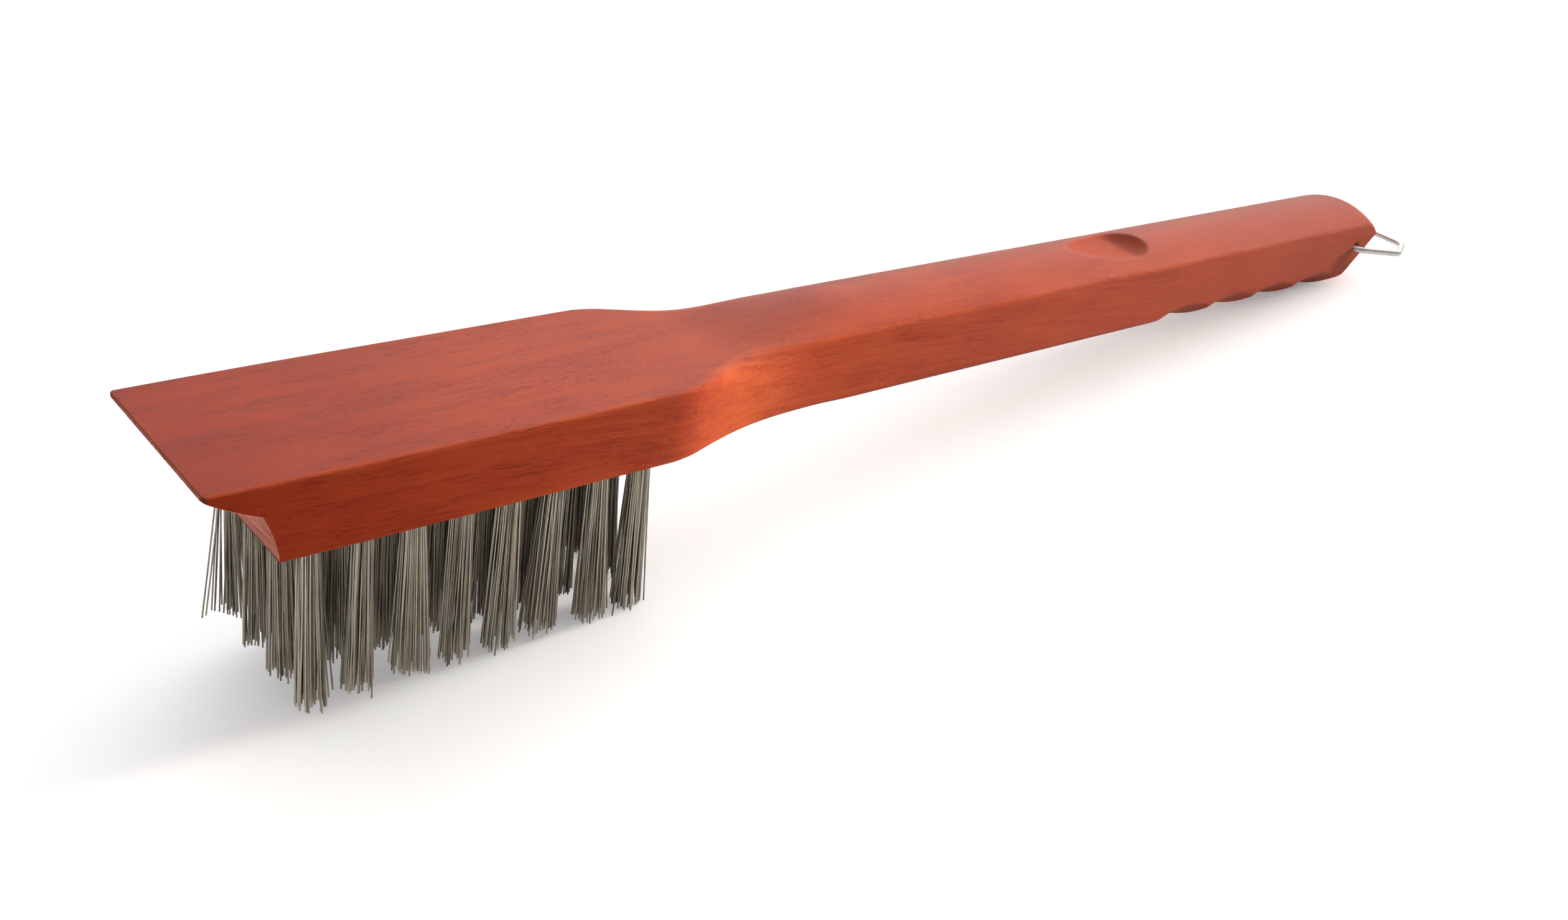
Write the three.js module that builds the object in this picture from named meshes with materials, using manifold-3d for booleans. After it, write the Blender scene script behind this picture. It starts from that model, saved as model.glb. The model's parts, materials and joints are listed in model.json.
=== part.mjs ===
// A wooden grill brush: one board shaped into a scraper lip, a wide head and a crowned handle, four rows
// of wire tufts folded over anchors in drilled holes, and a wire hanging loop at the handle's end.
// Millimetres. Along the brush: +X from the scraper edge to the loop, +Y across, +Z out of the head's top.
import * as THREE from "three";
import { mergeVertices, toCreasedNormals } from "three/addons/utils/BufferGeometryUtils.js";
import Module from "manifold-3d";

const wasm = await Module();
wasm.setup();

const degrees = THREE.MathUtils.degToRad;

// Board and head
const LENGTH = 447.5; // scraper edge to the corners of the handle's nose
const THICKNESS = 19; // flat underside to the flat top of the head
const SIDE_MARGIN = 5.5; // centre of an outer row to the head's flank
const FRONT_MARGIN = 8.5; // foot of the scraper notch to the first column of tufts
const HEAD_EDGE_RADIUS = 1.3;
const FOOT_RADIUS = 0.8; // lower edges of the board
const FRONT_DRAW_IN = 0.6; // how much each flank draws in towards the scraper edge
const DRAW_IN_LENGTH = 50;
const FRONT_CORNER_RADIUS = 1.5;

// Scraper lip at the front of the head
const LIP_EDGE = 1.1; // height of its front edge
const LIP_DEPTH = 12; // front edge to the inner corner of the notch
const LIP_THICKNESS = 7.4; // at that corner
const LIP_BELLY = 0.35; // how far its underside bows out
const NOTCH_LEAN = 3.5; // how far the notch wall leans back on its way down
const NOTCH_HOLLOW = 0.5;

// Neck, an S-curve from the head's width to the handle's
const NECK_LENGTH = 54;
const NECK_EDGE_SWELL = 2.2; // extra radius of its upper edges, at the middle
const NECK_FOOT_SWELL = 0.9; // the same for its lower edges
const NECK_EDGE_RUN_OUT = 12; // how far the swelling runs on into the handle

// Handle
const HANDLE_WIDTH = 29.2;
const CROWN_SLOPE = degrees(30); // of the crowned top, where it meets the flank
const CROWN_RISE_LENGTH = 50; // from the flat top to the full crown
const ARRIS_RADIUS = 1.5;
const NOSE_DROP = 5; // corners of the nose below the board's top
const NOSE_RUN = 8.5; // length over which the top falls to the nose
const NOSE_RADIUS = 11; // of that fall
const UNDERCUT = degrees(44); // slope of the end face under the nose
const END_FOOT_RADIUS = 5;
const BELLY_DEPTH = 4.5; // how far the handle's underside swells below the head's
const BELLY_ROLL = 9; // width over which the swelling rolls up to a lower edge

// Thumb scoop in the handle's top
const SCOOP_RADIUS = 13; // of its back wall
const SCOOP_REACH = 22; // from the middle of that round to where its floor runs out
const SCOOP_DEPTH = 3.3; // at its back wall, from the crown
const SCOOP_FILLET = 4;
const SCOOP_FROM_NOSE = 141.5; // middle of its round

// Finger scallops along both lower edges of the grip
const FINGERS = 4;
const FINGER_PITCH = 26.2;
const FINGER_RISE = 2.9; // up the flank
const FINGER_CREST = 0.2; // by which neighbours lower the crest between them
const FINGER_SKEW = degrees(45); // lean towards the head, on the way in from the flank
const FINGER_REACH = 14; // how far in from the flank they run out
const GRIP_FROM_NOSE = 20.9; // last scallop's end

// Tufts
const ROWS = 4;
const COLUMNS = 8;
const ROW_PITCH = 12.2;
const COLUMN_PITCH = 12;
const HOLE_DIAMETER = 5.2;
const HOLE_DEPTH = 11;
const BRISTLE_LENGTH = 42.5; // underside to tips
const TIP_UNEVENNESS = 2.2;
const STRAND_RADIUS = 0.45; // of the circle round a strand's three sides
const STRAND_SPACING = 1.05;
const FOLD_GAP = 1.4; // between the two halves of a folded bundle
const SPLAY = 2.1; // a bundle's width at its tips to that at its root
const TUFT_LEAN = 0.7; // most that a tuft's tips stand off its axis
const STRAND_STRAY = 0.3; // most that a strand's tip strays within its tuft
const SLICE_THICKNESS = 1; // strip of backing that a row's tufts share
const SLICE_WIDTH = 7;
const SLICE_END = 4; // past the centres of the first and last tufts

// Anchors
const ANCHOR_WIDTH = 0.6;
const ANCHOR_LENGTH = 8;
const ANCHOR_HEIGHT = 1.4;
const ANCHOR_DROP = 2; // its centre below the hole's end

// Hanging loop
const WIRE_DIAMETER = 2.2;
const LOOP_HOLE_DIAMETER = 3.8;
const PIVOT_FROM_NOSE = 12.2;
const PIVOT_DROP = 8.7; // below the board's top
const PIN_LENGTH = 9; // of each end inside the handle
const LOOP_SIDE_GAP = 0.5; // leg to flank
const LOOP_LENGTH = 37.5; // pivot to crossbar
const LOOP_SHOULDER = 20.5; // pivot to the widest place
const LOOP_SPREAD = 5.5; // how far each leg leans out to there
const CROSSBAR_WIDTH = 28.8;
const WIRE_BEND = 2.4; // from a corner to where its bend starts
const LOOP_DROOP = degrees(5.2); // below the board's length, as it stands

const CLEARANCE = 0.3; // between pieces that sit in one another
const SPARE = 10; // by which cutters overshoot

// Facets
const NOSE_TURN = degrees(80); // how far the loft follows the fall to the nose, past the undercut
const CREASE = degrees(35); // edges sharper than this are shaded sharp
const CORNER_STEPS = 4;
const CROWN_STEPS = 4;
const ROLL_STEPS = 4;
const NECK_STEPS = 14;
const CROWN_RUN_STEPS = 5;
const HOLE_SIDES = 10;
const ROUND_SIDES = 48;
const FINGER_STEPS = 10;
const REACH_STEPS = 6;
const WIRE_SIDES = 8;
const STRAND_SIDES = 3;
const BEND_STEPS = 4;

// Places worked out from the sizes
const UNDERSIDE = -THICKNESS;
const BELLY = UNDERSIDE - BELLY_DEPTH;
const headHalf = ((ROWS - 1) * ROW_PITCH) / 2 + SIDE_MARGIN;
const handleHalf = HANDLE_WIDTH / 2;
const notchFoot = LIP_DEPTH + NOTCH_LEAN;
const tuftX = (column) => notchFoot + FRONT_MARGIN + column * COLUMN_PITCH;
const tuftY = (row) => (row - (ROWS - 1) / 2) * ROW_PITCH;
const neckStart = tuftX(COLUMNS - 1);
const neckEnd = neckStart + NECK_LENGTH;
const crownStart = neckStart + NECK_LENGTH / 2;
const crownEnd = crownStart + CROWN_RISE_LENGTH;
const noseStart = LENGTH - NOSE_RUN;
const gripEnd = LENGTH - GRIP_FROM_NOSE;
const holeEnd = UNDERSIDE + HOLE_DEPTH;
const anchorZ = holeEnd - ANCHOR_DROP;
const pivot = new THREE.Vector3(LENGTH - PIVOT_FROM_NOSE, 0, -PIVOT_DROP);

const smooth = (value, from, to) => THREE.MathUtils.smoothstep(value, from, to);
const scatter = (seed) => Math.sin(seed * 78.233) * Math.cos(seed * 12.9898); // repeatable, -1 to 1

// Corners round a level circle.
function circle(radius, sides, centre) {
  return Array.from({ length: sides }, (_, k) => {
    const turn = (2 * Math.PI * k) / sides;
    return new THREE.Vector3(radius * Math.cos(turn), radius * Math.sin(turn), 0).add(centre);
  });
}

// Closed geometry through rings of corners, each ring counterclockwise seen from the end it runs to.
function joinRings(rings) {
  const count = rings[0].length;
  const last = (rings.length - 1) * count;
  const index = [];
  for (let ring = 0; ring < last; ring += count) {
    for (let k = 0; k < count; k++) {
      const a = ring + k;
      const b = ring + ((k + 1) % count);
      index.push(a, b, b + count, a, b + count, a + count);
    }
  }
  for (let k = 1; k + 1 < count; k++) {
    index.push(0, k + 1, k, last, last + k, last + k + 1);
  }
  return new THREE.BufferGeometry().setFromPoints(rings.flat()).setIndex(index);
}

// A closed geometry as a solid that can be joined and cut.
function solid(geometry) {
  const bare = new THREE.BufferGeometry().setAttribute("position", geometry.getAttribute("position"));
  const merged = mergeVertices(bare.setIndex(geometry.index), 1e-4);
  const made = new wasm.Mesh({
    numProp: 3,
    vertProperties: new Float32Array(merged.getAttribute("position").array),
    triVerts: new Uint32Array(merged.index.array),
  });
  return new wasm.Manifold(made);
}

const join = (solids) => solids.reduce((all, next) => all.add(next));
const cut = (body, cutters) => cutters.reduce((rest, cutter) => rest.subtract(cutter), body);

function named(name, body, material) {
  const { vertProperties, triVerts } = body.getMesh();
  const geometry = new THREE.BufferGeometry();
  geometry.setAttribute("position", new THREE.BufferAttribute(vertProperties, 3));
  geometry.setIndex(new THREE.BufferAttribute(triVerts, 1));
  const mesh = new THREE.Mesh(toCreasedNormals(geometry, CREASE), material);
  mesh.name = name;
  return mesh;
}

function block(sizeX, sizeY, sizeZ, x, y, z) {
  return new THREE.BoxGeometry(sizeX, sizeY, sizeZ).translate(x, y, z);
}

// A round bar standing on z = from, up to z = to.
function upright(diameter, from, to, x, y) {
  const bar = new THREE.CylinderGeometry(diameter / 2, diameter / 2, to - from, HOLE_SIDES);
  return bar.rotateX(Math.PI / 2).translate(x, y, (from + to) / 2);
}

// How far an arc falls away from its tangent, a given run past the place where it starts.
const fall = (radius, run) => radius - Math.sqrt(radius ** 2 - Math.max(0, run) ** 2);

// Half width of the board, rounded and drawn in at the front and necked down by two equal arcs.
function halfWidth(x) {
  const drop = headHalf - handleHalf;
  const radius = (NECK_LENGTH ** 2 + drop ** 2) / (4 * drop);
  const along = Math.min(x - neckStart, NECK_LENGTH);
  const necked = along < NECK_LENGTH / 2 ? fall(radius, along) : drop - fall(radius, NECK_LENGTH - along);
  const drawn = FRONT_DRAW_IN * Math.max(0, 1 - x / DRAW_IN_LENGTH) ** 2;
  const corner = fall(FRONT_CORNER_RADIUS, FRONT_CORNER_RADIUS - x);
  return headHalf - necked - drawn - corner;
}

// Swelling of the edges through the neck, 0 to 1.
function neckSwell(x) {
  const along = (x - neckStart) / (NECK_LENGTH + NECK_EDGE_RUN_OUT);
  return Math.sin(Math.PI * THREE.MathUtils.clamp(along, 0, 1)) ** 2;
}

const crownSlope = (x) => CROWN_SLOPE * smooth(x, crownStart, crownEnd);

// How far the underside hangs below the head's, a given distance in from a lower edge.
function hang(x, inset) {
  const rolled = 1 - Math.max(0, 1 - inset / BELLY_ROLL) ** 2;
  return BELLY_DEPTH * smooth(x, crownStart, crownEnd) * rolled;
}

// Right half of the board's section at x, from the underside up to the middle of the top. The top falls
// to the nose as a whole, so its crown shows in the nose too.
function halfSection(x) {
  const half = halfWidth(x);
  const foot = FOOT_RADIUS + NECK_FOOT_SWELL * neckSwell(x);
  const edge = THREE.MathUtils.lerp(HEAD_EDGE_RADIUS, ARRIS_RADIUS, smooth(x, neckStart, neckEnd));
  const round = edge + NECK_EDGE_SWELL * neckSwell(x);
  const slope = crownSlope(x);
  const arris = -fall(NOSE_RADIUS, x - noseStart) - round * Math.tan((Math.PI / 2 - slope) / 2);
  const points = [];
  for (let k = 0; k < ROLL_STEPS; k++) {
    const inset = THREE.MathUtils.lerp(BELLY_ROLL, foot, k / ROLL_STEPS);
    points.push([half - inset, UNDERSIDE - hang(x, inset)]);
  }
  for (let k = 0; k <= CORNER_STEPS; k++) {
    const turn = (Math.PI / 2) * (k / CORNER_STEPS);
    const inset = foot - foot * Math.sin(turn);
    points.push([half - inset, UNDERSIDE + foot - foot * Math.cos(turn) - hang(x, inset)]);
  }
  for (let k = 0; k <= CORNER_STEPS; k++) {
    const turn = (Math.PI / 2 - slope) * (k / CORNER_STEPS);
    points.push([half - round + round * Math.cos(turn), arris + round * Math.sin(turn)]);
  }
  const [crownHalf, crownFoot] = points.at(-1);
  for (let k = 1; k <= CROWN_STEPS; k++) {
    const turn = slope * (1 - k / CROWN_STEPS);
    const across = slope ? Math.sin(turn) / Math.sin(slope) : 1 - k / CROWN_STEPS;
    const rise = slope ? (Math.cos(turn) - Math.cos(slope)) / Math.sin(slope) : 0;
    points.push([crownHalf * across, crownFoot + crownHalf * rise]);
  }
  return points;
}

function section(x) {
  const right = halfSection(x);
  const left = right.slice(0, -1).reverse();
  const ring = [...right, ...left.map(([y, z]) => [-y, z])];
  return ring.map(([y, z]) => new THREE.Vector3(x, y, z));
}

const crownTop = halfSection(crownEnd).at(-1)[1];

// Stations of the loft: close together where the outline curves.
function stations() {
  const even = (from, to, steps) => {
    return Array.from({ length: steps }, (_, k) => THREE.MathUtils.lerp(from, to, k / steps));
  };
  const corner = even(0, Math.PI / 2, CORNER_STEPS).map((turn) => 1 - Math.cos(turn));
  return [
    ...corner.map((run) => FRONT_CORNER_RADIUS * run),
    ...even(FRONT_CORNER_RADIUS, DRAW_IN_LENGTH, CORNER_STEPS),
    DRAW_IN_LENGTH,
    ...even(neckStart, neckEnd, NECK_STEPS),
    ...even(neckEnd, crownEnd, CROWN_RUN_STEPS),
    crownEnd,
    ...even(0, NOSE_TURN, CORNER_STEPS).map((turn) => noseStart + NOSE_RADIUS * Math.sin(turn)),
    noseStart + NOSE_RADIUS * Math.sin(NOSE_TURN),
  ];
}

// Centre of the arc between the belly and the undercut of the handle's end.
const footRise = BELLY + END_FOOT_RADIUS + NOSE_DROP; // of the centre above the nose's corners
const footCentre = new THREE.Vector2(
  LENGTH + (footRise - END_FOOT_RADIUS / Math.cos(UNDERCUT)) / Math.tan(UNDERCUT),
  BELLY + END_FOOT_RADIUS,
);

// Side view of the whole board, open above its top.
function sideView() {
  const view = new THREE.Shape();
  const headroom = crownTop + SPARE;
  view.moveTo(0, headroom);
  view.lineTo(0, -LIP_EDGE);
  const lipMiddle = -(LIP_EDGE + LIP_THICKNESS) / 2;
  view.quadraticCurveTo(LIP_DEPTH / 2, lipMiddle - 2 * LIP_BELLY, LIP_DEPTH, -LIP_THICKNESS);
  const notchMiddle = (UNDERSIDE - LIP_THICKNESS) / 2;
  view.quadraticCurveTo(LIP_DEPTH + NOTCH_LEAN / 2 + 2 * NOTCH_HOLLOW, notchMiddle, notchFoot, UNDERSIDE);
  view.lineTo(crownStart, UNDERSIDE);
  view.lineTo(crownStart, BELLY);
  view.lineTo(footCentre.x, BELLY);
  view.absarc(footCentre.x, footCentre.y, END_FOOT_RADIUS, -Math.PI / 2, UNDERCUT - Math.PI / 2);
  view.lineTo(LENGTH + (headroom + NOSE_DROP) / Math.tan(UNDERCUT), headroom);
  const depth = 2 * (headHalf + SPARE);
  const slab = new THREE.ExtrudeGeometry(view, { depth, bevelEnabled: false, curveSegments: CORNER_STEPS });
  return slab.translate(0, 0, -depth / 2).rotateX(Math.PI / 2);
}

// A cutter with a round back, whose flat end ramps down to the back wall of the thumb scoop.
function scoopCutter() {
  const ramp = Math.atan(SCOOP_DEPTH / (SCOOP_REACH + SCOOP_RADIUS));
  const stretch = SCOOP_REACH / SCOOP_RADIUS; // of its front half
  const wall = new THREE.Path();
  wall.absarc(SCOOP_RADIUS - SCOOP_FILLET, SCOOP_FILLET, SCOOP_FILLET, -Math.PI / 2, 0);
  wall.lineTo(SCOOP_RADIUS, SCOOP_DEPTH + SPARE);
  const rings = wall.getPoints(CORNER_STEPS / 2).map((point) => {
    const round = circle(point.x, ROUND_SIDES, new THREE.Vector3(0, 0, point.y));
    return round.map(({ x, y, z }) => new THREE.Vector3(x < 0 ? stretch * x : x, y, z));
  });
  const cutter = joinRings(rings).rotateY(ramp);
  return cutter.translate(LENGTH - SCOOP_FROM_NOSE, 0, crownTop - SCOOP_REACH * Math.tan(ramp));
}

// A cutter for one scallop: an arch on the flank that leans towards the head on its way in, follows the
// belly and runs out.
function fingerCutter(finger, side) {
  const height = FINGER_RISE - FINGER_CREST;
  const radius = ((FINGER_PITCH / 2) ** 2 + height ** 2) / (2 * height);
  const halfRun = Math.sqrt(radius ** 2 - (radius - FINGER_RISE) ** 2);
  const middle = gripEnd - (finger + 0.5) * FINGER_PITCH;
  const ring = (inset) => {
    const inside = Math.max(0, inset);
    const left = 1 - inside / FINGER_REACH; // of its rise
    const corner = (run, z) => {
      return new THREE.Vector3(middle + run - inside * Math.tan(FINGER_SKEW), side * (handleHalf - inset), z);
    };
    const arch = Array.from({ length: FINGER_STEPS + 1 }, (_, k) => {
      const run = halfRun * (2 * (k / FINGER_STEPS) - 1);
      const rise = FINGER_RISE - fall(radius, Math.abs(run));
      return corner(run, UNDERSIDE - hang(middle, inside) + rise * left);
    });
    const low = BELLY - SPARE;
    const corners = [...arch, corner(halfRun, low), corner(-halfRun, low)];
    return side < 0 ? corners : corners.reverse();
  };
  const past = 1 + 1 / REACH_STEPS; // a little past where it runs out
  const insets = Array.from({ length: REACH_STEPS + 1 }, (_, k) => (past * FINGER_REACH * k) / REACH_STEPS);
  return joinRings([-SPARE, ...insets].map(ring));
}

// Every tuft's place: row, column, and its axis.
const tufts = [];
for (let row = 0; row < ROWS; row++) {
  for (let column = 0; column < COLUMNS; column++) {
    tufts.push({ row, column, x: tuftX(column), y: tuftY(row) });
  }
}

const sliceLength = tuftX(COLUMNS - 1) - tuftX(0) + 2 * SLICE_END;
const sliceX = (tuftX(0) + tuftX(COLUMNS - 1)) / 2;

// The strip of backing for a row, or the pocket for it when room is left around it.
function slice(row, room) {
  const height = SLICE_THICKNESS + room;
  const top = UNDERSIDE + height;
  const sunk = room ? SPARE : 0; // a pocket's cutter runs out through the underside
  const z = top - (height + sunk) / 2;
  return block(sliceLength + 2 * room, SLICE_WIDTH + 2 * room, height + sunk, sliceX, tuftY(row), z);
}

// An anchor, or the slot for it when room is left around it.
function anchor({ x, y }, room) {
  const width = ANCHOR_WIDTH + 2 * room;
  return block(width, ANCHOR_LENGTH + 2 * room, ANCHOR_HEIGHT + 2 * room, x, y, anchorZ);
}

function woodenBody() {
  const board = solid(joinRings(stations().map(section))).intersect(solid(sideView()));
  const cutters = [scoopCutter()];
  for (let finger = 0; finger < FINGERS; finger++) {
    cutters.push(fingerCutter(finger, -1), fingerCutter(finger, 1));
  }
  for (let row = 0; row < ROWS; row++) cutters.push(slice(row, CLEARANCE));
  for (const tuft of tufts) {
    cutters.push(upright(HOLE_DIAMETER, UNDERSIDE - SPARE, holeEnd, tuft.x, tuft.y));
    cutters.push(anchor(tuft, CLEARANCE));
  }
  const loopHole = new THREE.CylinderGeometry(
    LOOP_HOLE_DIAMETER / 2,
    LOOP_HOLE_DIAMETER / 2,
    HANDLE_WIDTH + SPARE,
    2 * WIRE_SIDES,
  );
  const sitsLow = (LOOP_HOLE_DIAMETER - WIRE_DIAMETER) / 2 - CLEARANCE; // the wire lies low in its hole
  cutters.push(loopHole.translate(pivot.x, pivot.y, pivot.z + sitsLow));
  return cut(board, cutters.map(solid));
}

// The surface under the brush, in the brush's own frame: it passes through the tips of the last column
// and touches the belly's rounded end.
const lastTip = new THREE.Vector2(tuftX(COLUMNS - 1), UNDERSIDE - BRISTLE_LENGTH);
const tipToFoot = footCentre.clone().sub(lastTip);
const restTilt = tipToFoot.angle() - Math.asin(END_FOOT_RADIUS / tipToFoot.length());
const surfaceZ = (x) => lastTip.y + (x - lastTip.x) * Math.tan(restTilt);

// Where the strands of one tuft leave the backing, from its axis: two halves of a folded bundle.
function bundle() {
  const roots = [];
  for (const side of [-1, 1]) {
    for (const [layer, count] of [4, 3].entries()) {
      for (let k = 0; k < count; k++) {
        const x = side * (FOLD_GAP / 2 + layer * STRAND_SPACING * Math.sin(degrees(60)));
        roots.push([x, (k - (count - 1) / 2) * STRAND_SPACING]);
      }
    }
  }
  return roots;
}

// A three-sided strand from its tip up into the backing. Those of the last column end on the surface.
function strand(tuft, [offX, offY], seed) {
  const lean = COLUMNS * tuft.row + tuft.column + 1;
  const root = new THREE.Vector3(tuft.x + offX, tuft.y + offY, UNDERSIDE + SLICE_THICKNESS / 2);
  const short = tuft.column === COLUMNS - 1 ? -TIP_UNEVENNESS : TIP_UNEVENNESS * (scatter(seed) / 2 + 0.5);
  const tip = new THREE.Vector3(
    tuft.x + offX * SPLAY + TUFT_LEAN * scatter(lean) + STRAND_STRAY * scatter(seed + 0.3),
    tuft.y + offY * SPLAY + TUFT_LEAN * scatter(lean + 0.5) + STRAND_STRAY * scatter(seed + 0.6),
    UNDERSIDE - BRISTLE_LENGTH + short,
  );
  const drop = tip.z - root.z - (tip.x - root.x) * Math.tan(restTilt);
  tip.lerpVectors(root, tip.clone(), Math.min(1, (surfaceZ(root.x) - root.z) / drop));
  return joinRings([tip, root].map((end) => circle(STRAND_RADIUS, STRAND_SIDES, end)));
}

// One lengthwise row: a strip of backing, and for each tuft the folded root in its hole and its strands.
function bristleRow(row) {
  const pieces = [solid(slice(row, 0))];
  for (const tuft of tufts.filter((each) => each.row === row)) {
    const rootDiameter = HOLE_DIAMETER - 2 * CLEARANCE;
    const plug = upright(rootDiameter, UNDERSIDE + SLICE_THICKNESS / 2, holeEnd - CLEARANCE, tuft.x, tuft.y);
    pieces.push(solid(plug).subtract(solid(anchor(tuft, CLEARANCE))));
    const first = (COLUMNS * row + tuft.column) * bundle().length;
    bundle().forEach((root, k) => pieces.push(solid(strand(tuft, root, first + k))));
  }
  return join(pieces);
}

// The loop in its own frame: pivot along Y through the origin, crossbar at +X.
function hangingLoop() {
  const legY = handleHalf + LOOP_SIDE_GAP + WIRE_DIAMETER / 2;
  const half = [
    [0, handleHalf - PIN_LENGTH],
    [0, legY],
    [LOOP_SHOULDER, legY + LOOP_SPREAD],
    [LOOP_LENGTH, CROSSBAR_WIDTH / 2],
  ].map(([x, y]) => new THREE.Vector2(x, y));
  const corners = [...half, ...half.map((p) => new THREE.Vector2(p.x, -p.y)).reverse()];
  const wire = new THREE.Path().moveTo(corners[0].x, corners[0].y);
  for (let k = 1; k + 1 < corners.length; k++) {
    const toward = (other) => other.clone().sub(corners[k]).setLength(WIRE_BEND).add(corners[k]);
    const before = toward(corners[k - 1]);
    const after = toward(corners[k + 1]);
    wire.lineTo(before.x, before.y);
    wire.quadraticCurveTo(corners[k].x, corners[k].y, after.x, after.y);
  }
  wire.lineTo(corners.at(-1).x, corners.at(-1).y);
  const points = wire.getPoints(BEND_STEPS);
  const rings = points.map((point, k) => {
    const ahead = points[Math.min(k + 1, points.length - 1)];
    const along = ahead.clone().sub(points[Math.max(k - 1, 0)]).normalize();
    return Array.from({ length: WIRE_SIDES }, (_, side) => {
      const turn = (2 * Math.PI * (side + 0.5)) / WIRE_SIDES;
      const off = (WIRE_DIAMETER / 2) * Math.cos(turn);
      const up = (WIRE_DIAMETER / 2) * Math.sin(turn);
      return new THREE.Vector3(point.x - along.y * off, point.y + along.x * off, up);
    });
  });
  return solid(joinRings(rings));
}

const wood = new THREE.MeshStandardMaterial({ color: 0x9a3d29, roughness: 0.5, metalness: 0 });
const bristleSteel = new THREE.MeshStandardMaterial({ color: 0x7d7769, roughness: 0.4, metalness: 0.9 });
const anchorSteel = new THREE.MeshStandardMaterial({ color: 0x8f8f8c, roughness: 0.45, metalness: 0.9 });
const loopSteel = new THREE.MeshStandardMaterial({ color: 0xb4b2ac, roughness: 0.35, metalness: 0.9 });

// The brush leans on its last bristle tips and the end of its handle.
const brush = new THREE.Group();
brush.rotation.y = restTilt;
brush.add(named("wooden_body", woodenBody(), wood));
for (let row = 0; row < ROWS; row++) {
  brush.add(named(`bristle_row_${row + 1}`, bristleRow(row), bristleSteel));
}
for (const tuft of tufts) {
  const name = `anchor_${tuft.row + 1}_${tuft.column + 1}`;
  brush.add(named(name, solid(anchor(tuft, 0)), anchorSteel));
}
const loop = named("hanging_loop", hangingLoop(), loopSteel);
loop.position.copy(pivot);
loop.rotation.y = LOOP_DROOP;
brush.add(loop);

// The origin is on the surface, under the middle of the whole brush.
const part = new THREE.Group().add(brush);
part.updateMatrixWorld(true);
const bounds = new THREE.Box3().setFromObject(part, true);
const middle = bounds.getCenter(new THREE.Vector3());
brush.position.set(-middle.x, -middle.y, -bounds.min.z);

export default part;
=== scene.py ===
# %% [markdown]
# # A wooden grill brush
# The brush is one board of stained wood with a scraper lip at the front, four rows of wire tufts under its
# head and a wire loop to hang it by. Its solids are already packed as a frame, in metres, standing on the
# floor as the brush stands on its last tufts and the end of its handle. Here that frame is dressed: the
# wood gets rounded edges and pores, the tufts get all their wires, and the loop gets true bends.

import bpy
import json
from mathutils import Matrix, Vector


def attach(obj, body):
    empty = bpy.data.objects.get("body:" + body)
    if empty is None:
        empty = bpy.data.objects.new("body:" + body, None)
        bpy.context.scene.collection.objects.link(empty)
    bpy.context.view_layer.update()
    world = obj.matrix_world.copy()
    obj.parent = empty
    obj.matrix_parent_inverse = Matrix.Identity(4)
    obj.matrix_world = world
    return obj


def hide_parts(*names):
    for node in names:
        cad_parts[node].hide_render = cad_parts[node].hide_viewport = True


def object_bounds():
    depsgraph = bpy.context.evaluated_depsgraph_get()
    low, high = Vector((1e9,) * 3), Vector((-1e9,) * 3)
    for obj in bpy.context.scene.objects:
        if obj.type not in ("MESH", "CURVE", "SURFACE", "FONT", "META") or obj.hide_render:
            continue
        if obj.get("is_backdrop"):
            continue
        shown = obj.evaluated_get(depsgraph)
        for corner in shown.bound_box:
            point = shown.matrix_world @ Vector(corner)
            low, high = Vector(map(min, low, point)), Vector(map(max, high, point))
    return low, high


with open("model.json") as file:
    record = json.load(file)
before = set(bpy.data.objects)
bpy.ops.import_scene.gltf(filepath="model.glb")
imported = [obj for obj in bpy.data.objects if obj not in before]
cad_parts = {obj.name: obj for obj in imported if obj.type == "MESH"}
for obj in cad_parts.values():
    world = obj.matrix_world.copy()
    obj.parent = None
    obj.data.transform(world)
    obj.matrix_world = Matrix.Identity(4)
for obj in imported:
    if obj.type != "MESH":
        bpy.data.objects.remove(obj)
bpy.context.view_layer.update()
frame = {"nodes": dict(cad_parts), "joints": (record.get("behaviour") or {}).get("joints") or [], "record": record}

# %% Tools of this lesson
import json
import math
import random

import bmesh
import bpy
from mathutils import Matrix, Vector

scene = bpy.context.scene
scene.view_settings.view_transform = "Standard"

# %% [markdown]
# ## The brush's own frame
# The brush leans, so its edges are not along the axes of the room. It is easier to model it as it would lie
# on a bench: millimetres, X from the scraper edge to the loop, Y across, Z out of the flat top of the head,
# with the top at zero. Two facts of the frame place that bench in the room: the direction of the head's
# flat top gives the tilt, and the loop's hinge is a point known in both.

# %% From the bench to the room
MM = 0.001
PIVOT = Vector((435.3, 0, -8.7))  # the loop's hinge, on the bench

head_top = frame["record"]["mounts"][0]
hinge = frame["joints"][0]
tilt = math.atan2(head_top["axis"][0], head_top["axis"][2])
hinge_place = Matrix.Translation(hinge["pos_m"])
to_room = hinge_place @ Matrix.Rotation(tilt, 4, "Y") @ Matrix.Scale(MM, 4) @ Matrix.Translation(-PIVOT)
print("tilt of the brush, degrees:", round(math.degrees(tilt), 3))

# %% [markdown]
# ## Writing materials
# A material is a tree of nodes. One helper adds any node: its settings are attributes, and its inputs are
# given in order, or by name or number, either as a value or as another node's output, which is then linked.
# It hands back one output of the new node, ready to be an input of the next. Colours are written as they
# look on a screen and turned into the linear values that a renderer adds up.


# %% One helper for nodes, one for colours
def add(tree, kind, inputs=(), output=0, **settings):
    made = tree.nodes.new(kind)
    for name, value in settings.items():
        setattr(made, name, value)
    for key, value in inputs.items() if isinstance(inputs, dict) else enumerate(inputs):
        if isinstance(value, bpy.types.NodeSocket):
            tree.links.new(value, made.inputs[key])
        else:
            made.inputs[key].default_value = value
    return made.outputs[output] if len(made.outputs) else made


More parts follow.
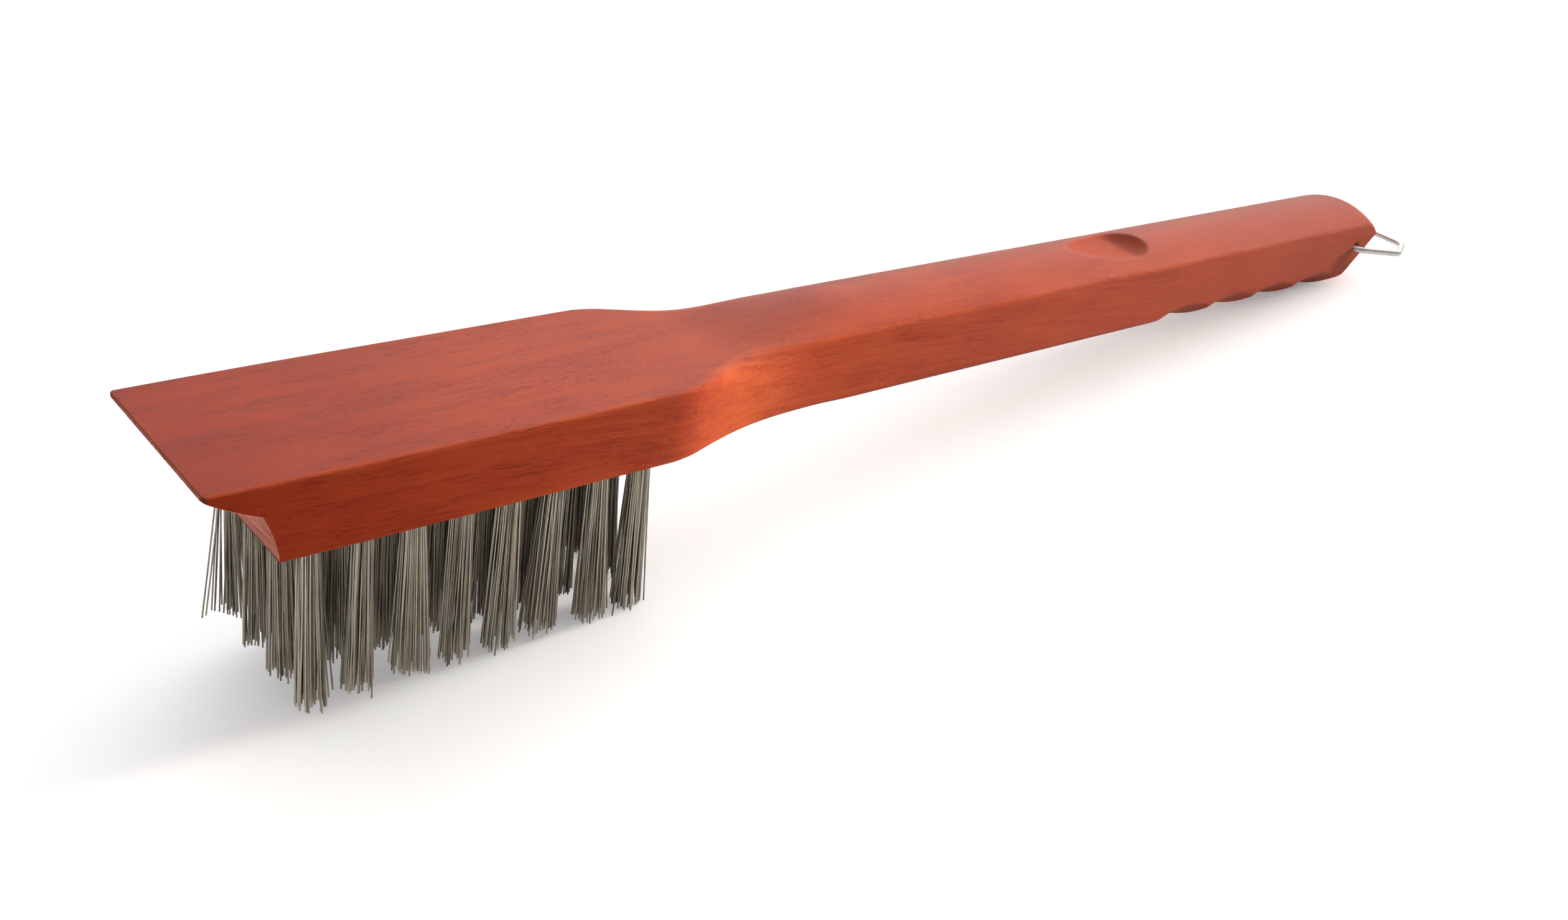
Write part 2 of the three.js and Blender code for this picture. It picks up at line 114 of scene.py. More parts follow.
def linear(colour):
    parts = [int(colour[k : k + 2], 16) / 255 for k in (1, 3, 5)]
    return (*[c / 12.92 if c <= 0.04045 else ((c + 0.055) / 1.055) ** 2.4 for c in parts], 1)


def new_material(name):
    material = bpy.data.materials.new(name)
    material.use_nodes = True
    material.node_tree.nodes.clear()
    return material, material.node_tree


# %% [markdown]
# ## Stained mahogany
# The board is an open-pored red wood, probably mahogany or one of its cousins, planed, sanded and dipped in
# a thin satin stain. Three things make it read as that wood. Its pores are long thin tubes, cut open by the
# surface: dashes along the grain on the faces, dots where the surface crosses the grain. A cell pattern
# that is stretched along the grain gives both at once, because it is a solid pattern. The stain sinks in
# unevenly, so there are long streaks and wide soft patches. And it isn't alike all over: it is thin on every
# edge and on the sanded neck, where the wood is more orange, and the pores are filled towards the end of
# the handle. Light is painted into it too: painted shade darkens the front, where less light falls, and a
# painted pinkish haze, a painted reflection of a broad bright wall, grows towards the end of the handle.
# The grain runs a few degrees off the board's length, as it does in cheap boards.

# %% Coordinates along the grain
GRAIN_YAW = math.radians(-1.5)  # the grain drifts a little across the board
GRAIN_PITCH = math.radians(-3.8)  # and dives through it, towards the handle
WANDER, WANDER_LENGTH = 2.4, 60.0  # mm, how far it strays from a straight line, and over what length

stained_wood, tree = new_material("stained_mahogany")
place = add(tree, "ShaderNodeTexCoord", output="Object")
to_bench = {"Vector": place, "Rotation": (0, -tilt, 0), "Scale": (1 / MM, 1 / MM, 1 / MM)}
bench = add(tree, "ShaderNodeMapping", to_bench)
turn = Matrix.Rotation(GRAIN_YAW, 3, "Z") @ Matrix.Rotation(GRAIN_PITCH, 3, "Y")
straight = add(tree, "ShaderNodeMapping", {"Vector": bench, "Rotation": turn.to_euler()})
wander = {"Vector": straight, "Scale": 1 / WANDER_LENGTH, "Detail": 1.0}
bends = add(tree, "ShaderNodeTexNoise", wander, output="Color")
strayed = (bends, (0.0, 2 * WANDER, 2 * WANDER), straight)
grain = add(tree, "ShaderNodeVectorMath", strayed, operation="MULTIPLY_ADD")
along = add(tree, "ShaderNodeSeparateXYZ", (bench,))
origin_x = (to_room.inverted() @ Vector((0, 0, 0))).x  # of the room's origin, from the scraper edge
from_edge = add(tree, "ShaderNodeMath", (along, origin_x), operation="ADD")
print("the room's origin is", round(origin_x, 2), "mm from the scraper edge")

# %% Patterns in the wood
PATTERNS = {  # each: what it lies along, its sizes in mm, its detail and the roughness of that detail
    "streaks": (grain, (55.0, 1.4, 1.4), 6.0, 0.66),
    "figure": (grain, (42.0, 5.0, 5.0), 2.0, 0.5),
    "patches": (bench, (30.0, 30.0, 30.0), 2.0, 0.5),
    "tooth": (grain, (0.96, 0.24, 0.24), 2.0, 0.5),  # left by sandpaper, drawn at twice its size to show
    "saw_marks": (bench, (0.45, 9.0, 0.45), 3.0, 0.65),  # across the lip and the cove
    "dashes": (grain, (8.0, 0.2, 0.2), 2.0, 0.5),
}
noises = []
for direction, sizes, detail, roughness in PATTERNS.values():
    per_size = tuple(1 / size for size in sizes)
    units = add(tree, "ShaderNodeVectorMath", (direction, per_size), operation="MULTIPLY")
    inputs = {"Vector": units, "Scale": 1.0, "Detail": detail, "Roughness": roughness}
    noises.append(add(tree, "ShaderNodeTexNoise", inputs))
streaks, figure, patches, tooth, saw_marks, dashes = noises
print("patterns in the wood:", list(PATTERNS))

# %% Pores: stretched cells, kept near each cell's heart, and dashes where a stretched noise peaks
PORES = ((26.0, 0.46, 0.21, 1.0), (13.0, 0.32, 0.25, 0.85), (5.5, 0.27, 0.25, 0.6))
# each: mm along the grain, mm across it, share of a cell that a pore fills, and how dark it is
PORE_CORE = 0.65  # of a pore, within which it is darkest
DASH_PEAK, DASH_DARK = (0.53, 0.72), 0.5
CROWDED = (0.6, 0.42, 0.3, 1.0)  # pores crowd where the figure is dark

pores = add(tree, "ShaderNodeMapRange", (dashes, *DASH_PEAK, 0.0, DASH_DARK))
for length, width, heart, dark in PORES:
    per_cell = (1 / length, 1 / width, 1 / width)
    units = add(tree, "ShaderNodeVectorMath", (grain, per_cell), operation="MULTIPLY")
    inputs = {"Vector": units, "Scale": 1.0, "Randomness": 1.0}
    cells = add(tree, "ShaderNodeTexVoronoi", inputs, output="Distance")
    pore = add(tree, "ShaderNodeMapRange", (cells, heart, heart * PORE_CORE, 0.0, dark))
    pores = add(tree, "ShaderNodeMath", (pores, pore), operation="MAXIMUM")
crowding = add(tree, "ShaderNodeMapRange", (figure, *CROWDED))
pores = add(tree, "ShaderNodeMath", (pores, crowding), operation="MULTIPLY")
print("kinds of pore:", len(PORES) + 1)

# %% How much each colour shows
FRONT_SHADE_END = 130.0  # mm from the scraper edge, up to which painted shade darkens the front
HAZE_AND_FILL_STRETCH = (20.0, 380.0)  # mm, the stretch over which handling fills the pores and a painted pinkish haze grows

rubbed, sawn, hollow = [
    add(tree, "ShaderNodeAttribute", output="Fac", attribute_name=name)
    for name in ("rubbed", "sawn", "hollow")
]
RANGES = {  # each: a value, where it starts and ends to count, and the shares that this gives
    "light": (streaks, 0.34, 0.66, 0.0, 1.0),
    "figured": (figure, 0.4, 0.66, 0.0, 0.3),
    "patched": (patches, 0.62, 0.34, 0.0, 0.3),
    # painted shade: the front is darkened, where less light falls
    "front_shade": (from_edge, 0.0, FRONT_SHADE_END, 0.7, 0.0),
    # painted reflection: a pinkish haze that grows towards the end of the handle and follows the streaks
    "haze_rearward": (from_edge, *HAZE_AND_FILL_STRETCH, 0.0, 0.75),
    "haze_streaks": (streaks, 0.25, 0.6, 0.6, 1.0),
    # painted shade: in the scoop's hollow some plain stain comes back, darker and redder than the painted haze
    # around it
    "scooped": (hollow, 0.0, 1.0, 0.0, 0.3),
    "thinned": (streaks, 0.3, 0.7, 0.2, 0.6),
    "raw": (sawn, 0.0, 1.0, 0.0, 0.85),
    "saw_light": (saw_marks, 0.36, 0.62, 0.0, 1.0),
    "unsawn": (sawn, 0.0, 1.0, 1.0, 0.25),
    "unfilled": (from_edge, *HAZE_AND_FILL_STRETCH, 0.82, 0.3),
}
shares = {name: add(tree, "ShaderNodeMapRange", inputs) for name, inputs in RANGES.items()}
# painted haze: how much of the pinkish tint, which stands for the sheen of a broad bright wall, shows
dull = add(tree, "ShaderNodeMath", (shares["haze_rearward"], shares["haze_streaks"]), operation="MULTIPLY")
worn = add(tree, "ShaderNodeMath", (rubbed, shares["thinned"]), operation="MULTIPLY")
unsawn_pores = add(tree, "ShaderNodeMath", (pores, shares["unsawn"]), operation="MULTIPLY")
open_pores = add(tree, "ShaderNodeMath", (unsawn_pores, shares["unfilled"]), operation="MULTIPLY")
print("shares of the colours:", list(shares))

# %% Layers of colour, from the stain up to the pores
STAIN_DARK = linear("#701c0a")
STAIN = linear("#8f3317")
STAIN_LIGHT = linear("#a5471d")
STAIN_WORN = linear("#c26336")
# painted reflection: the pinkish haze of a broad bright wall, put into the colour
PAINTED_HAZE = linear("#924939")
PORE_SHADE = linear("#2c0e0b")
# sawn end grain is pale; both tones are painted lighter still, as painted light from the front
SAWN_WOOD_LIT = linear("#ee9e8b")
SAWN_DARK_LIT = linear("#b35c4c")
EVENNESS = 0.55  # how much the streaks are evened out

saw_tones = {0: shares["saw_light"], 6: SAWN_DARK_LIT, 7: SAWN_WOOD_LIT}
lit_saw_tone = add(tree, "ShaderNodeMix", saw_tones, output=2, data_type="RGBA")
layers = (
    (shares["light"], STAIN_LIGHT),
    (EVENNESS, STAIN),
    (shares["figured"], STAIN_LIGHT),
    (shares["patched"], STAIN_DARK),
    # painted shade at the front
    (shares["front_shade"], STAIN_DARK),
    # painted haze towards the end of the handle
    (dull, PAINTED_HAZE),
    # painted shade in the scoop's hollow
    (shares["scooped"], STAIN),
    (worn, STAIN_WORN),
    # sawn faces: their pale tone, with painted light added
    (shares["raw"], lit_saw_tone),
    (open_pores, PORE_SHADE),
)
colour = STAIN_DARK
for share, tint in layers:
    colour = add(tree, "ShaderNodeMix", {0: share, 6: colour, 7: tint}, output=2, data_type="RGBA")
print("layers of colour:", len(layers))

# %% Satin finish: a little bump from pores, tooth and saw, and a sheen that differs from face to face
SHEEN = 0.15  # of the thin stain: much less than a varnish has
FLANK_SHEEN = 0.4  # share of it on the flanks, which are not sanded as fine as the top
SCOOP_SHEEN = 0.3  # and in the thumb scoop
FACING_UP = 0.7  # height of a normal from which a face counts as top
ROUGH = (0.2, 0.8, 0.48, 0.6)  # the streaks' range, and the roughness at its ends
SAWN_ROUGH = 0.25  # what the saw adds
TOOTH_HEIGHT, SAW_HEIGHT = 0.16, 1.2  # over the depth of a pore
PORE_DEPTH = 0.00009  # m

normal = add(tree, "ShaderNodeTexCoord", output="Normal")
upward = add(tree, "ShaderNodeSeparateXYZ", (normal,), output=2)
face_sheen = add(tree, "ShaderNodeMapRange", (upward, 0.0, FACING_UP, FLANK_SHEEN, 1.0))
scoop_sheen = add(tree, "ShaderNodeMapRange", (hollow, 0.0, 1.0, SHEEN, SCOOP_SHEEN * SHEEN))
sheen = add(tree, "ShaderNodeMath", (face_sheen, scoop_sheen), operation="MULTIPLY")
saw_cuts = add(tree, "ShaderNodeMath", (saw_marks, sawn), operation="MULTIPLY")
tool_marks = add(tree, "ShaderNodeMath", (saw_cuts, SAW_HEIGHT), operation="MULTIPLY")
raised = add(tree, "ShaderNodeMath", (tooth, TOOTH_HEIGHT, tool_marks), operation="MULTIPLY_ADD")
height = add(tree, "ShaderNodeMath", (raised, pores), operation="SUBTRACT")
bump = add(tree, "ShaderNodeBump", {"Height": height, "Strength": 0.5, "Distance": PORE_DEPTH})
stain_rough = add(tree, "ShaderNodeMapRange", (streaks, *ROUGH))
rough = add(tree, "ShaderNodeMath", (sawn, SAWN_ROUGH, stain_rough), operation="MULTIPLY_ADD")
finish = {"Base Color": colour, "Roughness": rough, "Normal": bump, "Specular IOR Level": sheen}
satin = add(tree, "ShaderNodeBsdfPrincipled", finish)
add(tree, "ShaderNodeOutputMaterial", {"Surface": satin})
print("wood nodes:", len(tree.nodes))

# %% [markdown]
# ## The board's outline
# The real board was sawn to an S-curve at the neck, shaped to a crown along the handle, and rounded over
# all its edges. Each of those is one small formula of the distance along the brush. The same formulas will
# place every point of the wood, so that the whole board stays one smooth skin.

# %% Sizes of the board, mm
THICKNESS = 19.0
HEAD_HALF, HANDLE_HALF = 23.8, 14.6  # half widths
NECK_START = 112.5
NECK_CORNER, NECK_SWEEP = 11.0, 51.0  # a tight convex arc, then a long hollow one
NECK_LENGTH = NECK_CORNER + NECK_SWEEP
ROLL_START, ROLL_END = 113.0, 170.0  # where the neck is sanded round
EDGE_RADIUS, ARRIS_RADIUS = 0.95, 1.5  # upper edges of the head and of the handle
HEAD_FOOT_RADIUS, FOOT_RADIUS, LIP_FOOT_RADIUS = 0.35, 0.8, 0.1  # lower edges
EDGE_SWELL, FOOT_SWELL = 3.8, 0.9  # added to the upper and lower edges by the sanding of the neck
CRISP = math.radians(38)  # the head's upper rounding starts at this angle, which leaves an edge at the flank
CRISP_END, SOFT_START = NECK_START - 2, NECK_START + 14  # between these that edge runs out
FRONT_DRAW_IN, DRAW_IN_LENGTH = 0.6, 50.0
FRONT_CORNER = 1.1
CROWN_START, CROWN_END = 135.0, 185.0  # between these the crown and the belly rise to their full height
CROWN_SLOPE = math.radians(30)
NOSE_START, NOSE_RADIUS = 439.0, 11.0
NOSE_TIP = Vector((447.5, -5.0))  # corner of the nose, in the side view
UNDERCUT = math.radians(44)
BELLY_DEPTH = 4.5  # how far the handle's underside swells below the head's
BELLY_ROLL = 9.0  # width over which the swelling rolls up to a lower edge
FLAT = 1e-6  # a slope under this counts as none


# %% Formulas of the outline
def fall(radius, run):
    """How far an arc has dropped from its tangent, a given run after it starts."""
    return radius - math.sqrt(max(0.0, radius**2 - max(0.0, run) ** 2))


def ease(value, start, end):
    share = min(1.0, max(0.0, (value - start) / (end - start)))
    return share * share * (3 - 2 * share)


def half_width(x):
    drop = HEAD_HALF - HANDLE_HALF
    radii = (NECK_LENGTH**2 + drop**2) / (2 * drop)  # of both arcs together
    into_neck = min(x - NECK_START, NECK_LENGTH)
    if into_neck < NECK_CORNER:
        necked = fall(radii * NECK_CORNER / NECK_LENGTH, into_neck)
    else:
        necked = drop - fall(radii * NECK_SWEEP / NECK_LENGTH, NECK_LENGTH - into_neck)
    drawn = FRONT_DRAW_IN * max(0.0, 1 - x / DRAW_IN_LENGTH) ** 2
    return HEAD_HALF - necked - drawn - fall(FRONT_CORNER, FRONT_CORNER - x)


def neck_swell(x):
    share = (x - ROLL_START) / (ROLL_END - ROLL_START)
    return math.sin(math.pi * min(1.0, max(0.0, share))) ** 2


def edge_radius(x):
    plain = EDGE_RADIUS + (ARRIS_RADIUS - EDGE_RADIUS) * ease(x, NECK_START, NECK_START + NECK_LENGTH)
    return plain + EDGE_SWELL * neck_swell(x)


def foot_radius(x):
    share = ease(x, NECK_START, NECK_START + NECK_LENGTH)
    return HEAD_FOOT_RADIUS + (FOOT_RADIUS - HEAD_FOOT_RADIUS) * share + FOOT_SWELL * neck_swell(x)


def crispness(x):
    return CRISP * (1 - ease(x, CRISP_END, SOFT_START))


def crown_slope(x):
    return CROWN_SLOPE * ease(x, CROWN_START, CROWN_END)


def hang(x, inset):
    """How far the underside hangs below the head's, a given distance in from a lower edge."""
    rolled = 1 - max(0.0, 1 - inset / BELLY_ROLL) ** 2
    return BELLY_DEPTH * ease(x, CROWN_START, CROWN_END) * rolled


def crown_rise(half, slope, share):
    """Height of a crown over its edges, a share of the half width away from the middle."""
    if slope < FLAT:
        return 0.0
    return half * (math.cos(math.asin(share * math.sin(slope))) - math.cos(slope)) / math.sin(slope)


print("half widths of head, neck and handle, mm:", [round(half_width(x), 2) for x in (60, 135, 250)])

# %% [markdown]
# ## The side view
# Seen from the side, the underside is a line that starts at the scraper edge, bows back to the cove, drops
# down the cove, runs flat under the brush and turns up round the foot into the undercut end. Every ring of
# the skin hangs between a point of this line and a point of the top. At both ends the two lines meet, so
# the skin closes there by itself. Under the handle the line lies lower in the middle, where the belly
# hangs, so at the end there is one line for each depth of the belly.

# %% Points along the underside and the top
LIP_EDGE, LIP_DEPTH, LIP_THICKNESS, LIP_BELLY = 1.1, 12.0, 7.4, 0.35
LIP_ROUND = 0.25  # of the upper edge of the lip
COVE_FOOT, COVE_HOLLOW = 15.5, 0.5
FRONT_END, REAR_START = 20.0, 414.0
LIP_RINGS, COVE_RINGS, HEEL_RINGS, ROUND_RINGS = 30, 30, 10, 8
HEEL_CROWDING = 1.3  # crowds the rings behind the cove towards its foot
RING_PITCHES = ((50, 1.5), (108, 3.2), (190, 1.3), (280, 2.4), (312, 0.5), (322, 0.32), (500, 0.6))
# each: up to where, mm, and how far apart the rings stand there: close where thumb and fingers cut in


def quadratic(start, control, end, share):
    return start.lerp(control, share).lerp(control.lerp(end, share), share)


lip_start, lip_end = Vector((0, -LIP_EDGE)), Vector((LIP_DEPTH, -LIP_THICKNESS))
lip_control = (lip_start + lip_end) / 2 - Vector((0, 2 * LIP_BELLY))
cove_end, heel_end = Vector((COVE_FOOT, -THICKNESS)), Vector((FRONT_END, -THICKNESS))
cove_control = (lip_end + cove_end) / 2 + Vector((2 * COVE_HOLLOW, 0))
under = [quadratic(lip_start, lip_control, lip_end, k / LIP_RINGS) for k in range(LIP_RINGS)]
under += [quadratic(lip_end, cove_control, cove_end, k / COVE_RINGS) for k in range(COVE_RINGS)]
under += [cove_end.lerp(heel_end, (k / HEEL_RINGS) ** HEEL_CROWDING) for k in range(HEEL_RINGS)]
front_rings = len(under)

over = []
for k in range(front_rings):
    if k <= ROUND_RINGS:
        angle = math.pi / 2 * max(0, k - 1) / (ROUND_RINGS - 1)
        low = LIP_EDGE if k == 0 else LIP_ROUND * (1 - math.sin(angle))
        over.append(Vector((LIP_ROUND * (1 - math.cos(angle)), -low)))
    else:
        share = (k - ROUND_RINGS) / (front_rings - ROUND_RINGS)
        over.append(Vector((LIP_ROUND + (FRONT_END - LIP_ROUND) * share, 0)))

x = FRONT_END
while x < REAR_START:
    under.append(Vector((x, -THICKNESS)))
    over.append(Vector((x, 0)))
    x += next(pitch for end, pitch in RING_PITCHES if x < end)
rear_ring = len(under)
print("rings up to the end of the grip:", rear_ring)

# %% Lines round the foot and up the undercut
FOOT_ARC, FOOT_STEPS = 5.0, 12  # radius of the turn from the belly into the undercut, and its steps
NOSE_TUCK = 0.5  # the corner drops this much as its rounding runs out
LEVEL_RINGS, UNDERCUT_RINGS = 28, 36  # at the rear end, before and after the underside turns up
END_RINGS = LEVEL_RINGS + UNDERCUT_RINGS
HALVINGS = 40  # of the search for the nose's end
LEAST_LIFT = 1e-4  # by which a point of the foot lies above a level

foot_z = FOOT_ARC - THICKNESS - BELLY_DEPTH
foot_x = NOSE_TIP.x + (foot_z - NOSE_TIP.y - FOOT_ARC / math.cos(UNDERCUT)) / math.tan(UNDERCUT)
foot_line = []
for k in range(FOOT_STEPS + 1):
    angle = UNDERCUT * k / FOOT_STEPS - math.pi / 2
    foot_line.append(Vector((foot_x + FOOT_ARC * math.cos(angle), foot_z + FOOT_ARC * math.sin(angle))))


def along_line(points, share):
    """A point at a share of the length of a line of points."""
    lengths = [(b - a).length for a, b in zip(points, points[1:])]
    left = share * sum(lengths)
    for a, length in enumerate(lengths):
        if left <= length or a == len(lengths) - 1:
            return points[a].lerp(points[a + 1], min(1.0, left / length))
        left -= length


def undercut_height(x):
    return NOSE_TIP.y + (x - NOSE_TIP.x) * math.tan(UNDERCUT)


def nose_end(rise):
    """Where the falling top meets the undercut, for a point of the crown with that rise."""
    near, far = NOSE_START, NOSE_START + NOSE_RADIUS
    for _ in range(HALVINGS):
        middle = (near + far) / 2
        above = rise - NOSE_TUCK - fall(NOSE_RADIUS, middle - NOSE_START) > undercut_height(middle)
        near, far = (middle, far) if above else (near, middle)
    return near


def end_point(ring, depth, nose):
    """A point of a ring of the rear end, where the belly hangs by depth and the top ends at nose."""
    level = -THICKNESS - depth
    above = [p for p in foot_line if p.y > level + LEAST_LIFT]
    if above:
        below = foot_line[len(foot_line) - len(above) - 1]
        meets = below.lerp(above[0], (level - below.y) / (above[0].y - below.y))
    else:
        meets = Vector((NOSE_TIP.x + (level - NOSE_TIP.y) / math.tan(UNDERCUT), level))
    step = ring - rear_ring
    if step <= LEVEL_RINGS:
        return Vector((REAR_START, level)).lerp(meets, step / LEVEL_RINGS)
    line = [meets, *above, Vector((nose, undercut_height(nose)))]
    return along_line(line, (step - LEVEL_RINGS) / UNDERCUT_RINGS)


corner_end = nose_end(0.0)
under += [end_point(rear_ring + k, 0.0, corner_end) for k in range(END_RINGS + 1)]
rings = len(under) - 1
print("rings in all:", rings, "nose ends at", round(nose_end(crown_rise(HANDLE_HALF, CROWN_SLOPE, 0)), 2))


# %% The top's place at a ring of the rear end, for a point of the crown
def rear_x(ring, share_across):
    rise = crown_rise(HANDLE_HALF, CROWN_SLOPE, abs(share_across))
    straight = NOSE_START - REAR_START
    bend = NOSE_RADIUS * math.asin(min(1.0, (nose_end(rise) - NOSE_START) / NOSE_RADIUS))
    run = (ring - rear_ring) / END_RINGS * (straight + bend)
    if run < straight:
        return REAR_START + run
    return NOSE_START + NOSE_RADIUS * math.sin((run - straight) / NOSE_RADIUS)


# %% [markdown]
# ## Rolling the skin
# A grid of quads is a sheet of paper. Its columns go to the rings along the brush and its rows go round the
# section: across the underside, round the lower edge, up the flank, round the arris, over the crown and
# back down. Moving each point of the sheet to its place rolls it into the board, and merging doubles glues
# the seam and both pinched ends. This keeps even quads, which a cut-up block would not.

# %% Steps round a section
ACROSS, CORNER = 48, 6
LOW_FLANK, LOW_STEPS, HIGH_STEPS = 0.3, 14, 11  # the flank's lower share takes the fine steps

flank_shares = [LOW_FLANK * k / LOW_STEPS for k in range(LOW_STEPS)]
flank_shares += [LOW_FLANK + (1 - LOW_FLANK) * k / HIGH_STEPS for k in range(HIGH_STEPS + 1)]
around = [("under", 2 * k / ACROSS - 1, 0) for k in range(ACROSS)]
around += [("foot", k / CORNER, 1) for k in range(CORNER)]
around += [("flank", share, 1) for share in flank_shares[:-1]]
around += [("arris", k / CORNER, 1) for k in range(CORNER)]
around += [("top", 1 - 2 * k / ACROSS, 0) for k in range(ACROSS)]
around += [("arris", 1 - k / CORNER, -1) for k in range(CORNER)]
around += [("flank", share, -1) for share in flank_shares[:0:-1]]
around += [("foot", 1 - k / CORNER, -1) for k in range(CORNER)]
around.append(around[0])
print("steps round a section:", len(around) - 1)

# %% [markdown]
# ## Finger scallops
# A drum took four bites out of each lower edge of the grip. It was held askew, so each bite leans towards
# the head on its way in from the flank, gets shallower and runs out near the middle. The bites only lift
# the underside, so their formula goes into the skin itself. Where two bites meet, and where they start, a
# soft maximum rounds the crest as sandpaper does.

# %% Lift of the underside by the scallops
FINGERS, FINGER_PITCH, FINGER_RISE, FINGER_CREST, GRIP_END = 4, 26.2, 2.9, 0.2, 426.6
FINGER_SKEW, FINGER_REACH = math.radians(45), 14.0
GRIP_MARGIN = 20.0  # ahead of the grip, beyond which no bite reaches
SANDED = 0.16  # mm, softness of the crests
bite = FINGER_RISE - FINGER_CREST
finger_radius = ((FINGER_PITCH / 2) ** 2 + bite**2) / (2 * bite)
grip_start = GRIP_END - FINGERS * FINGER_PITCH


def finger_lift(x, inset):
    if x < grip_start - GRIP_MARGIN or inset >= FINGER_REACH:
        return 0.0
    total = 1.0
    for finger in range(FINGERS):
        run = x - (GRIP_END - (finger + 0.5) * FINGER_PITCH) + inset * math.tan(FINGER_SKEW)
        total += math.exp((FINGER_RISE - fall(finger_radius, abs(run))) / SANDED)
    return SANDED * math.log(total) * (1 - inset / FINGER_REACH)


lifts = [round(finger_lift(GRIP_END - share * FINGER_PITCH, 0), 2) for share in (0.5, 1)]
print("lift in the middle of a scallop and at a crest, mm:", lifts)

# %% Facts that all points of a ring share
EDGE_SHARE = 0.42  # the most of a ring's height that one rounding takes
FOOT_GROWTH = 0.6  # mm for each mm behind the cove, until the lower edge has its radius


def inward(ring):
    """Direction into the wood from the underside, in the side view."""
    run = under[min(ring + 1, rings)] - under[max(ring - 1, 0)]
    return Vector((-run.y, run.x)).normalized()


def ring_facts(ring):
    """A ring's lower point, that point's inward direction, its top, its edges and if it is of the rear."""
    low = under[ring]
    rear = ring >= rear_ring
    top = Vector((rear_x(ring, 1), 0)) if rear else over[ring]
    top_z = top.y - fall(NOSE_RADIUS, top.x - NOSE_START)
    slope = crown_slope(top.x)
    full = edge_radius(top.x)
    most = EDGE_SHARE * (Vector((top.x, top_z)) - low).length
    edge = min(full, most) if ring < rings else 0.0
    sharp = LIP_FOOT_RADIUS + FOOT_GROWTH * max(0.0, low.x - COVE_FOOT)
    foot = min(foot_radius(low.x), most, sharp) if 0 < ring < rings else 0.0
    crisp = crispness(top.x)
    tuck = NOSE_TUCK * (1 - edge / full) if rear else 0.0
    arris_z = top.y - edge * math.tan((math.pi / 2 - slope) / 2) * (1 - math.sin(crisp)) - tuck
    return low, inward(ring), top, slope, edge, crisp, foot, arris_z, rear


facts = [ring_facts(ring) for ring in range(rings + 1)]
print("widest upper rounding, mm:", round(max(edge for _, _, _, _, edge, *_ in facts), 2))

# %% A point of the skin
EDGE_CROWDING = 1.35  # crowds points of the underside towards its edges along the handle
CROWDING_END = (425.0, 440.0)  # mm, where that runs out


def lower_point(ring, low, rear, inset, share_across):
    """Where the underside passes, in the side view, a given distance in from the lower edge."""
    spot = low - Vector((0, hang(low.x, inset)))
    if rear:
        nose = nose_end(crown_rise(HANDLE_HALF, CROWN_SLOPE, abs(share_across)))
        spot = end_point(ring, hang(low.x, inset), nose)
    return spot + Vector((0, finger_lift(spot.x, inset)))


def board_point(ring, step):
    kind, share, side = around[step]
    low, into, top, slope, edge, crisp, foot, arris_z, rear = facts[ring]
    nose = fall(NOSE_RADIUS, top.x - NOSE_START)
    if kind == "under":
        crowd = ease(low.x, CROWN_START, CROWN_END) * (1 - ease(low.x, *CROWDING_END))
        packed = math.copysign(1 - (1 - abs(share)) ** EDGE_CROWDING, share)
        across = share + (packed - share) * crowd
        half = half_width(low.x)
        y = across * (half - foot)
        spot = lower_point(ring, low, rear, half - abs(y), across)
        return Vector((spot.x, y, spot.y))
    if kind == "foot":
        angle = share * math.pi / 2
        inset = foot * (1 - math.sin(angle))
        spot = lower_point(ring, low, rear, inset, 1) + into * foot * (1 - math.cos(angle))
        return Vector((spot.x, side * (half_width(spot.x) - inset), spot.y))
    if kind == "flank":
        start = lower_point(ring, low, rear, 0, 1) + into * foot
        spot = start.lerp(Vector((top.x, arris_z - nose)), share)
        return Vector((spot.x, side * half_width(spot.x), spot.y))
    half = half_width(top.x)
    if kind == "arris":
        angle = crisp + share * (math.pi / 2 - slope - crisp)
        inset = edge * (math.cos(crisp) - math.cos(angle))
        lift = edge * (math.sin(angle) - math.sin(crisp))
        return Vector((top.x, side * (half - inset), arris_z - nose + lift))
    x = rear_x(ring, share) if rear else top.x
    crown_half = half - edge * (math.cos(crisp) - math.sin(slope))
    rise = edge * (math.cos(slope) - math.sin(crisp)) + crown_rise(crown_half, slope, abs(share))
    return Vector((x, share * crown_half, arris_z + rise - fall(NOSE_RADIUS, x - NOSE_START)))


# %% Roll it
SEAM = 0.002  # mm, points closer than this are glued
wood = bmesh.new()
bmesh.ops.create_grid(wood, x_segments=rings, y_segments=len(around) - 1, size=0.5)
ring_layer = wood.verts.layers.int.new("ring")
step_layer = wood.verts.layers.int.new("step")
for vert in wood.verts:
    ring = round((vert.co.x + 0.5) * rings)
    step = round((vert.co.y + 0.5) * (len(around) - 1))
    vert[ring_layer], vert[step_layer] = ring, step
    vert.co = board_point(ring, step)
bmesh.ops.remove_doubles(wood, verts=wood.verts, dist=SEAM)
bmesh.ops.recalc_face_normals(wood, faces=wood.faces)
open_edges = [edge for edge in wood.edges if not edge.is_manifold]
print("skin:", len(wood.verts), "points,", len(open_edges), "open edges")

# %% [markdown]
# ## Thumb scoop
# On the real handle a cutter with a round nose, held at a slant, took out the thumb scoop: its floor ramps
# down from the head's side to a round back wall. A boolean would leave knife edges, while the real ones are
# sanded soft. So the points that the cutter would reach are pressed back onto the cutter's surface, and the
# area is then smoothed a few times, which is just what sandpaper does. What was pressed in is marked with
# an attribute of the points. The material makes the scoop less polished, and paints shade into its hollow:
# a darker, redder stain, without the painted haze around it.

